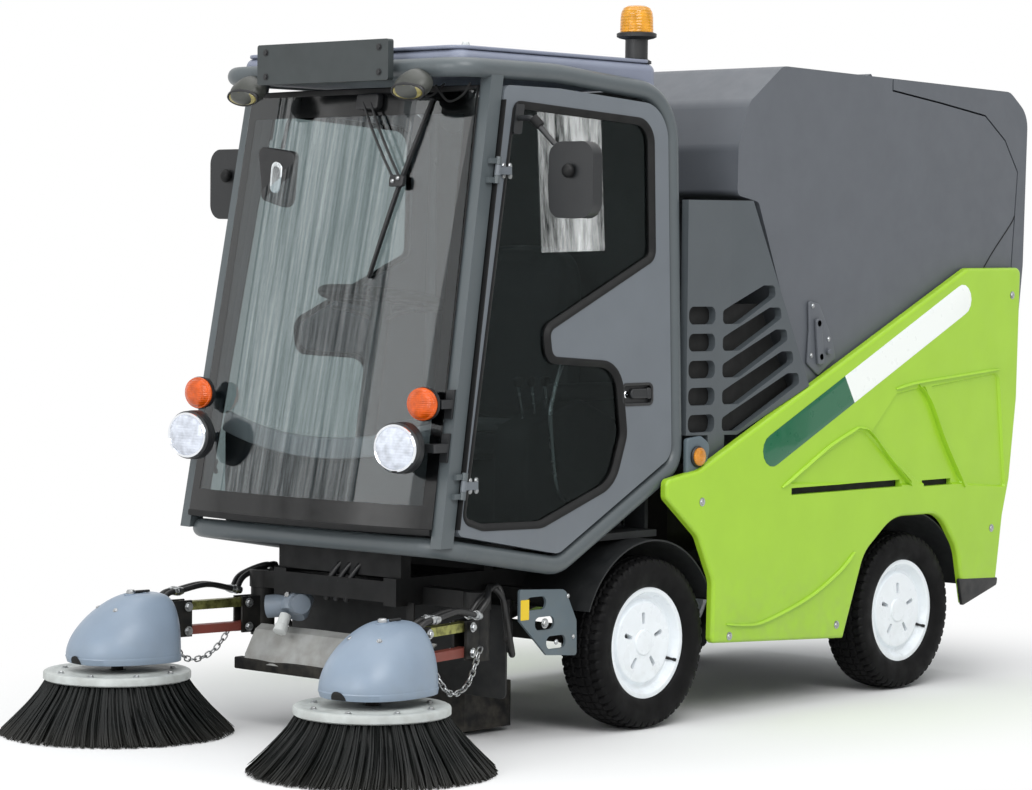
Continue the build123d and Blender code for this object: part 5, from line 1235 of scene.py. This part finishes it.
def make_front_gear():
    """Under the cab: hydraulic elbow casting with its ports, pipes, deflector on its frame, and skirt."""
    body = [turned([(0, 0), (0.040, 0), (0.044, 0.006), (0.044, 0.060), (0.038, 0.070), (0, 0.070)],
                   (-0.195, -0.985, 0.400), (0.1, -0.55, -0.8), 40),
            turned([(0, 0), (0.030, 0), (0.034, 0.010), (0.034, 0.075), (0, 0.080)], (-0.205, -1.010, 0.370),
                   (-0.8, -0.5, -0.1), 36),
            turned([(0, 0), (0.026, 0), (0.029, 0.008), (0.029, 0.060), (0, 0.066)], (-0.185, -1.015, 0.370),
                   (0.85, -0.45, 0.15), 36)]
    spout = turned([(0, 0), (0.017, 0), (0.017, 0.035), (0.020, 0.037), (0.020, 0.058), (0.015, 0.060),
                    (0, 0.060)], (-0.195, -1.045, 0.342), (0.15, -0.6, -0.85), 28)
    ears = bolts([(-0.265, -1.045, 0.375), (-0.150, -1.045, 0.382), (-0.195, -1.035, 0.400)],
                 (0, -0.8, 0.4), 0.010, 0.008)
    piece("hydraulic_elbow", body, "casting")
    piece("elbow_spout", [spout], "white", slot="engine_iron")
    piece("elbow_bolts", ears, "bolt")
    pipes = [carried(through([(x - 0.03, -1.02, 0.40), (x, -1.03, 0.47), (x + 0.04, -0.99, 0.535),
                              (x + 0.05, -0.93, 0.545)], 30), circle(0.009, 12), LEFT)
             for x in (-0.02, 0.02, 0.06)]
    piece("front_pipes", pipes, "hose")
    x = np.linspace(-0.36, 0.36, 40)[:, None]
    fold = np.array([(-1.055, 0.190), (-1.052, 0.215), (-1.010, 0.286), (-0.985, 0.300), (-0.985, 0.296),
                     (-1.007, 0.283), (-1.048, 0.214), (-1.051, 0.190)])[None]
    dent = 0.004 * np.sin(9 * x) * np.sin(23 * x + 1)
    sheet = grid(np.stack([x + 0 * fold[..., 0], fold[..., 0] + dent, fold[..., 1] + 0 * x], -1), wrap_v=True)
    bar = carried(np.array([(-0.40, -1.040, 0.185), (0.40, -1.040, 0.185)]),
                  box_outline(0.035, 0.035, 0.005), UP)
    straps = [carried(np.array([(x, -0.990, 0.290), (x, -0.990, 0.410)]), box_outline(0.030, 0.006, 0.001),
                      (0, 1, 0)) for x in (-0.26, 0.26)]
    piece("deflector_sheet", [sheet], "deflector", sharp=25)
    piece("deflector_frame", [bar] + straps, "chassis")
    skirt = slab(rounded([(-0.440, 0.130, 0.02), (0.440, 0.130, 0.02), (0.440, 0.400, 0.01),
                          (-0.440, 0.400, 0.01)]), 0.775, 0.783, 0.002, facing_front)
    piece("front_skirt", [skirt], "liner")


def make_rear_details():
    """The blank plate at the back and the tail lamps' rims."""
    plate = slab(box_outline(0.34, 0.11, 0.008, (0, 0.470)), 0.0, 0.0015, 0.0005, facing_rear(1.5922))
    rims = rim_of(resampled(box_outline(0.066, 0.066, 0.010, (0.410, 0.530)), 60),
                  [(0, 0), (0, 0.012), (0.003, 0.014), (0.006, 0.012), (0.006, 0)],
                  facing_rear(1.5920))
    piece("rear_blank_plate", [plate], "white", slot="wheel_white")
    piece("tail_lamp_rims", [rims], "black", both=True)


def make_roof_details():
    """The board's bolts, cable loops under the roof tube's corner, and the roof sheet with its knob."""
    spots = [(x, -1.105, z) for x in (-0.230, 0.230) for z in (1.915, 1.985)]
    piece("board_bolts", bolts(spots, AHEAD, 0.0075, 0.005), "black", slot="link_zinc")
    loops = [carried(through([(0.350, -1.000, 1.880), (0.385, -0.985, 1.835), (0.430, -0.975, 1.850),
                              (0.447, -0.960, 1.885)], 24), circle(0.0035, 8), (0, 1, 0)),
             carried(through([(0.260, -1.010, 1.885), (0.320, -0.995, 1.850), (0.372, -0.985, 1.884)], 24),
                     circle(0.003, 8), (0, 1, 0))]
    piece("roof_cables", loops, "rubber")
    sheet = slab(rounded([(-0.440, -1.000, 0.05), (0.440, -1.000, 0.05), (0.440, -0.135, 0.05),
                          (-0.440, -0.135, 0.05)]), 1.9803, 1.991, 0.004, facing_up)
    knob = turned([(0, 0), (0.011, 0), (0.012, 0.004), (0.010, 0.012), (0.005, 0.016), (0, 0.0165)],
                  (0.40, -0.93, 1.9905), UP, 20)
    piece("roof_sheet", [sheet], "roof")
    piece("roof_knob", [knob], "white")


# ---- CAD finishes --------------------------------------------------------------------------------
NODE_FINISH = {name: finish for finish, names in {
    "chassis": "axles brush_head brush_swing chassis_rails cross_members frame_brackets knuckle "
               "rear_bumper suction_nozzle tie_rod",
    "interior": "cab_floor cab_rear_wall dashboard seat_base", "hopper": "hopper hopper_lid",
    "pod": "lamp_brackets mirror steering_column", "green": "body_panels", "cover": "brush_cover",
    "redlead": "brush_link_lower", "zinc": "brush_link_upper", "cab": "cab_frame", "roof": "cab_roof",
    "side_glass": "door_glass", "door": "door", "engine": "engine_block", "grille": "intake_grilles",
    "rim": "rim", "board": "roof_board", "plate": "side_plates", "rubber": "steering_wheel",
    "red": "tail_lamps", "liner": "wheel_arch_liners", "glass": "windscreen",
}.items() for name in names.split()}


def finish_nodes():
    """Gives every CAD node its finish: the longest listed name that begins the node's own."""
    for name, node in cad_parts.items():
        keys = [key for key in NODE_FINISH if name.startswith(key)]
        if not keys:
            continue
        node.data.materials.clear()
        node.data.materials.append(FINISHES[NODE_FINISH[max(keys, key=len)]])
        node.data.shade_smooth()
        node.data.set_sharp_from_angle(angle=math.radians(28))


# ---- Stage and camera ----------------------------------------------------------------------------
# Half the floor's side, and how far out its paper begins and ends the turn to plain light.
FLOOR_HALF, FADE_FROM, FADE_TO = 60.0, 0.9, 1.9
# Corners of a flat sheet, as shares of half its sides.
FLAT = np.array([[(-1, -1), (1, -1)], [(-1, 1), (1, 1)]], float)


def stage_sheet(name, points, finish):
    """A flat sheet of the studio through its four corners."""
    mesh = bpy.data.meshes.new(name)
    shape, faces = grid(points)
    mesh.from_pydata(shape.tolist(), [], faces.tolist())
    mesh.materials.append(finish)
    made = bpy.data.objects.new(name, mesh)
    bpy.context.scene.collection.objects.link(made)
    return made


def make_floor():
    """Matt white paper near the machine, that turns to plain white light a few metres out."""
    paper, tree, shader, place = begun("paper_floor", Base_Color=(0.86, 0.86, 0.86, 1), Roughness=1.0,
                                       Specular_IOR_Level=0.0)
    flat = add(tree, "ShaderNodeVectorMath", {0: place, 1: (0.95, 0.62, 0.0)}, operation="MULTIPLY")
    away = add(tree, "ShaderNodeVectorMath", {0: flat.outputs["Vector"]}, operation="LENGTH").outputs["Value"]
    share = add(tree, "ShaderNodeMapRange", {"Value": away, "From Min": FADE_FROM, "From Max": FADE_TO},
                interpolation_type="SMOOTHERSTEP").outputs["Result"]
    light = add(tree, "ShaderNodeEmission", {"Color": (1, 1, 1, 1), "Strength": 1.0})
    both = add(tree, "ShaderNodeMixShader", {0: share, 1: shader.outputs[0], 2: light.outputs[0]})
    tree.links.new(both.outputs[0], tree.nodes["Material Output"].inputs["Surface"])
    stage_sheet("paper_floor", FLOOR_HALF * np.concatenate([FLAT, 0 * FLAT[..., :1]], -1), paper)


def upright(place, target):
    """Axes of a stage object at a place that faces a point: its side, its up and its back."""
    aim = unit(np.array(target, float) - np.array(place, float))
    side = unit(np.cross(aim, (0.0, 1e-3, 1.0)))
    return np.stack([side, np.cross(side, aim), -aim], 1)


def area_light(name, place, target, size, power):
    """An upright soft light aimed at a point."""
    lamp = bpy.data.lights.new(name, "AREA")
    lamp.shape = "RECTANGLE"
    lamp.size, lamp.size_y = size
    lamp.energy = power
    made = bpy.data.objects.new(name, lamp)
    made.matrix_world = Matrix(np.block([[upright(place, target), np.array(place, float)[:, None]],
                                         [np.zeros((1, 3)), np.ones((1, 1))]]).tolist())
    made.visible_camera = False
    bpy.context.scene.collection.objects.link(made)


# What the banks and cards aim at, and how far off they stand.
SCREEN_MIDDLE, DOOR_MIDDLE = np.array([0.0, -1.15, 1.30]), np.array([0.50, -0.60, 1.55])
BANK_AWAY, CARD_AWAY = 8.0, 8.4


def streaked_light(name, middle, way, size, bright):
    """A dim bank of light with upright streaks, which stands as a broken bright bar in the glass.

    bright is its mean radiance; the streaks are noise across the bank, drawn out 12 times in height."""
    width, height = size
    area_light(name, middle + BANK_AWAY * np.array(way), middle, size, math.pi * width * height)
    lamp = bpy.data.lights[name]
    lamp.use_nodes = True
    tree = lamp.node_tree
    tree.nodes.clear()
    place = add(tree, "ShaderNodeTexCoord").outputs["UV"]
    across = add(tree, "ShaderNodeVectorMath", {0: place, 1: (width * 7, height * 0.6, 1)},
                 operation="MULTIPLY")
    streaks = add(tree, "ShaderNodeTexNoise", {"Vector": across.outputs[0], "Scale": 1.0, "Detail": 8.0,
                                               "Roughness": 0.75})
    power = add(tree, "ShaderNodeMapRange", {"Value": streaks.outputs["Fac"], "From Min": 0.40,
                                             "From Max": 0.68, "To Min": 0.0, "To Max": 3.2 * bright})
    glow = add(tree, "ShaderNodeEmission", {"Strength": power.outputs["Result"]})
    add(tree, "ShaderNodeOutputLight", {"Surface": glow.outputs[0]})


def black_card(name, middle, way, size):
    """A dull black card behind a bank, seen in the glass alone, so that the bank's streaks stand out."""
    place = middle + CARD_AWAY * np.array(way)
    side, up = upright(place, middle).T[:2]
    black = begun(name, Base_Color=(0.002, 0.002, 0.002, 1), Roughness=1.0, Specular_IOR_Level=0.0)[0]
    card = stage_sheet(name, place + FLAT[..., :1] * side * size[0] / 2 + FLAT[..., 1:] * up * size[1] / 2,
                       black)
    card.visible_camera = card.visible_diffuse = card.visible_transmission = card.visible_shadow = False


def make_banks():
    """Banks and cards off to the side that stand in the windscreen and in the left door's glass."""
    turn, plain = math.radians(49.5), math.radians(30.0)
    way = (-math.sin(turn), -math.cos(turn), 0.20)
    streaked_light("screen_bank", SCREEN_MIDDLE, way, (4.0, 3.1), 0.9)
    black_card("screen_card", SCREEN_MIDDLE, way, (4.3, 3.8))
    way = (0.652, 0.755, 0.085)
    streaked_light("door_bank", DOOR_MIDDLE, way, (0.34, 1.0), 4.2)
    black_card("door_card", DOOR_MIDDLE, way, (2.4, 5.6))
    place = SCREEN_MIDDLE + BANK_AWAY * np.array([-math.sin(plain), -math.cos(plain), 0.26])
    area_light("plain_bank", place, SCREEN_MIDDLE, (1.5, 4.2), 1.5 * math.pi * 1.5 * 4.2)


def make_world(sizes):
    """Plain white to the camera and in glass and metal; soft light of its own strength elsewhere."""
    world = bpy.data.worlds.new("studio")
    bpy.context.scene.world = world
    world.use_nodes = True
    tree = world.node_tree
    tree.nodes.clear()
    path = add(tree, "ShaderNodeLightPath")
    seen = path.outputs["Is Camera Ray"]
    for way in ("Is Glossy Ray", "Is Transmission Ray"):
        seen = add(tree, "ShaderNodeMath", {0: seen, 1: path.outputs[way]}, operation="MAXIMUM").outputs[0]
    soft = add(tree, "ShaderNodeBackground", {"Color": (0.95, 0.98, 1, 1), "Strength": sizes.sky})
    white = add(tree, "ShaderNodeBackground", {"Color": (1, 1, 1, 1), "Strength": 1.0})
    both = add(tree, "ShaderNodeMixShader", {0: seen, 1: soft.outputs[0], 2: white.outputs[0]})
    add(tree, "ShaderNodeOutputWorld", {"Surface": both.outputs[0]})


# The photograph's viewpoint: where the eye stands, its turns in degrees, and its lens in mm.
EYE, YAW, DIP, ROLL, FOCAL = (6.60138682, -7.59754764, 1.38907973), 41.975, 2.396, 0.532, 112.29


def make_camera():
    """The photograph's own viewpoint, kept with its small roll."""
    lens = bpy.data.cameras.new("view")
    lens.lens, lens.sensor_width, lens.sensor_fit = FOCAL, 36.0, "HORIZONTAL"
    lens.clip_end = 200
    made = bpy.data.objects.new("view", lens)
    turn = (Matrix.Rotation(math.radians(YAW), 4, "Z") @ Matrix.Rotation(math.radians(90 - DIP), 4, "X")
            @ Matrix.Rotation(math.radians(ROLL), 4, "Z"))
    made.matrix_world = Matrix.Translation(EYE) @ turn
    bpy.context.scene.collection.objects.link(made)
    bpy.context.scene.camera = made


def make_studio(sizes):
    """Floor, world, three soft lights, the banks that stand in the glass, and the camera."""
    bpy.context.scene.view_settings.view_transform = "Standard"
    make_floor()
    make_world(sizes)
    area_light("key", (5.5, -3.5, 6.0), (0, 0, 0.9), (4.0, 4.0), sizes.key)
    area_light("front", (1.0, -8.0, 3.2), (0, 0, 0.9), (5.0, 3.0), sizes.front)
    area_light("top", (0, 0, 7.0), (0, 0, 0), (7.0, 7.0), sizes.top)
    make_banks()
    make_camera()


# ---- Panel settings ------------------------------------------------------------------------------
def tone(name, note, code):
    """A colour setting."""
    return bpy.props.StringProperty(name=name, description=note + ", as a hex code", default=code)


def length(name, note, value):
    """A length setting, in metres."""
    return bpy.props.FloatProperty(name=name, description=note, default=value, min=0, unit="LENGTH",
                                   precision=4)


class SweeperTones(bpy.types.PropertyGroup):
    """Colours of the machine's parts."""

    body_green: tone("Body green", "Colour of the moulded side panels", "#9fca30")
    cab_grey: tone("Cab grey", "Colour of the cab's tubes", "#4f5659")
    door_grey: tone("Door grey", "Colour of the doors", "#646a70")
    hopper_grey: tone("Hopper grey", "Colour of the hopper and its lid", "#565a60")
    grille_grey: tone("Grille grey", "Colour of the intake panels", "#4a5054")
    cover_blue: tone("Cover blue", "Colour of the brush covers", "#8291a2")


class SweeperWheels(bpy.types.PropertyGroup):
    """Sizes of the tyres."""

    lugs: bpy.props.IntProperty(name="Tread blocks", description="Blocks round each shoulder", default=54,
                                min=12)
    tread_depth: length("Tread depth", "Depth of the grooves", 0.0055)


class SweeperBrushes(bpy.types.PropertyGroup):
    """Sizes and spread of the strands."""

    strands: bpy.props.IntProperty(name="Strands", description="Strands in each brush", default=4200, min=100)
    tufts: bpy.props.IntProperty(name="Tufts", description="Tufts round the plate", default=72, min=8)
    strand_width: length("Strand width", "Thickness of one strand", 0.0042)
    seed: bpy.props.IntProperty(name="Seed", description="Start of the random spread", default=7)


class SweeperCab(bpy.types.PropertyGroup):
    """Sizes of the cab's trim."""

    gasket: length("Seal width", "Width of the rubber round the windows", 0.016)
    hinge_plate: length("Hinge plate", "Height of the hinge plates over the door", 0.0005)


class SweeperBody(bpy.types.PropertyGroup):
    """Sizes of the panels' trim."""

    stripe_width: length("Stripe width", "Width of the blank stripe", 0.100)


class SweeperStage(bpy.types.PropertyGroup):
    """Strengths of the lights."""

    sky: bpy.props.FloatProperty(name="Sky", description="Strength of the soft light all round", default=0.55)
    key: bpy.props.FloatProperty(name="Key", description="Power of the main light", default=290, unit="POWER")
    front: bpy.props.FloatProperty(name="Front", description="Power of the front light", default=200,
                                   unit="POWER")
    top: bpy.props.FloatProperty(name="Top", description="Power of the top light", default=225, unit="POWER")


class SWEEPER_OT_tones(bpy.types.Operator):
    """Makes every finish and gives the CAD nodes theirs."""

    bl_idname = "sweeper.tones"
    bl_label = "Finishes"

    def execute(self, context):
        make_finishes(context.scene.sweeper_tones)
        finish_nodes()
        return {"FINISHED"}


class SWEEPER_OT_wheels(bpy.types.Operator):
    """Adds treaded tyres and valves."""

    bl_idname = "sweeper.wheels"
    bl_label = "Tyres"

    def execute(self, context):
        make_tyres(context.scene.sweeper_wheels)
        return {"FINISHED"}


class SWEEPER_OT_brushes(bpy.types.Operator):
    """Adds the two brushes' plates and strands."""

    bl_idname = "sweeper.brushes"
    bl_label = "Brushes"

    def execute(self, context):
        make_brushes(context.scene.sweeper_brushes)
        return {"FINISHED"}


class SWEEPER_OT_lamps(bpy.types.Operator):
    """Adds headlamps, indicators, work lamps and the beacon."""

    bl_idname = "sweeper.lamps"
    bl_label = "Lamps"

    def execute(self, context):
        make_headlamps()
        make_indicators()
        make_work_lamps()
        make_beacon()
        return {"FINISHED"}


class SWEEPER_OT_cab(bpy.types.Operator):
    """Adds the window seals, screen, wiper, handles, mirrors and fittings of the cab."""

    bl_idname = "sweeper.cab"
    bl_label = "Cab"

    def execute(self, context):
        sizes = context.scene.sweeper_cab
        make_window_trim(sizes)
        make_screen_trim()
        make_wiper()
        make_hinge_bolts(sizes)
        make_handles()
        make_mirror_details()
        make_cab_fittings()
        make_roof_details()
        make_seat()
        return {"FINISHED"}


class SWEEPER_OT_body(bpy.types.Operator):
    """Adds the details of the hopper, side panels, intakes and tail."""

    bl_idname = "sweeper.body"
    bl_label = "Body"

    def execute(self, context):
        sizes = context.scene.sweeper_body
        make_hopper_details()
        make_panel_details(sizes)
        make_intake_painted_shade()
        make_side_gear()
        make_rear_details()
        return {"FINISHED"}


class SWEEPER_OT_arms(bpy.types.Operator):
    """Adds the bolts, covers' details, hoses, chains and hydraulic parts of the brush arms."""

    bl_idname = "sweeper.arms"
    bl_label = "Sweeping gear"

    def execute(self, context):
        make_link_bolts()
        make_cover_details()
        make_hoses()
        make_chains()
        make_front_gear()
        return {"FINISHED"}


class SWEEPER_OT_stage(bpy.types.Operator):
    """Adds the floor, lights, world and camera."""

    bl_idname = "sweeper.stage"
    bl_label = "Stage"

    def execute(self, context):
        make_studio(context.scene.sweeper_stage)
        return {"FINISHED"}


GROUPS = {"tones": SweeperTones, "wheels": SweeperWheels, "brushes": SweeperBrushes, "cab": SweeperCab,
          "body": SweeperBody, "stage": SweeperStage}
OPERATORS = (SWEEPER_OT_tones, SWEEPER_OT_wheels, SWEEPER_OT_brushes, SWEEPER_OT_lamps, SWEEPER_OT_cab,
             SWEEPER_OT_body, SWEEPER_OT_arms, SWEEPER_OT_stage)


class SWEEPER_PT_panel(bpy.types.Panel):
    """Sizes and colours of the sweeper, with a button for each group of pieces."""

    bl_label = "Street sweeper"
    bl_idname = "SWEEPER_PT_panel"
    bl_space_type = "VIEW_3D"
    bl_region_type = "UI"
    bl_category = "Sweeper"

    def draw(self, context):
        for made in OPERATORS:
            key = made.bl_idname.split(".")[1]
            part = self.layout.box()
            if key in GROUPS:
                group = getattr(context.scene, "sweeper_" + key)
                for name in GROUPS[key].__annotations__:
                    part.prop(group, name)
            part.operator(made.bl_idname)


def register():
    for made in (*GROUPS.values(), *OPERATORS, SWEEPER_PT_panel):
        bpy.utils.register_class(made)
    for key, group in GROUPS.items():
        setattr(bpy.types.Scene, "sweeper_" + key, bpy.props.PointerProperty(type=group))


def unregister():
    for key in GROUPS:
        delattr(bpy.types.Scene, "sweeper_" + key)
    for made in reversed((*GROUPS.values(), *OPERATORS, SWEEPER_PT_panel)):
        bpy.utils.unregister_class(made)


def main():
    register()
    bpy.ops.sweeper.tones()
    bpy.ops.sweeper.wheels()
    bpy.ops.sweeper.brushes()
    bpy.ops.sweeper.lamps()
    bpy.ops.sweeper.cab()
    bpy.ops.sweeper.body()
    bpy.ops.sweeper.arms()
    bpy.ops.sweeper.stage()


if __name__ == "__main__":
    main()
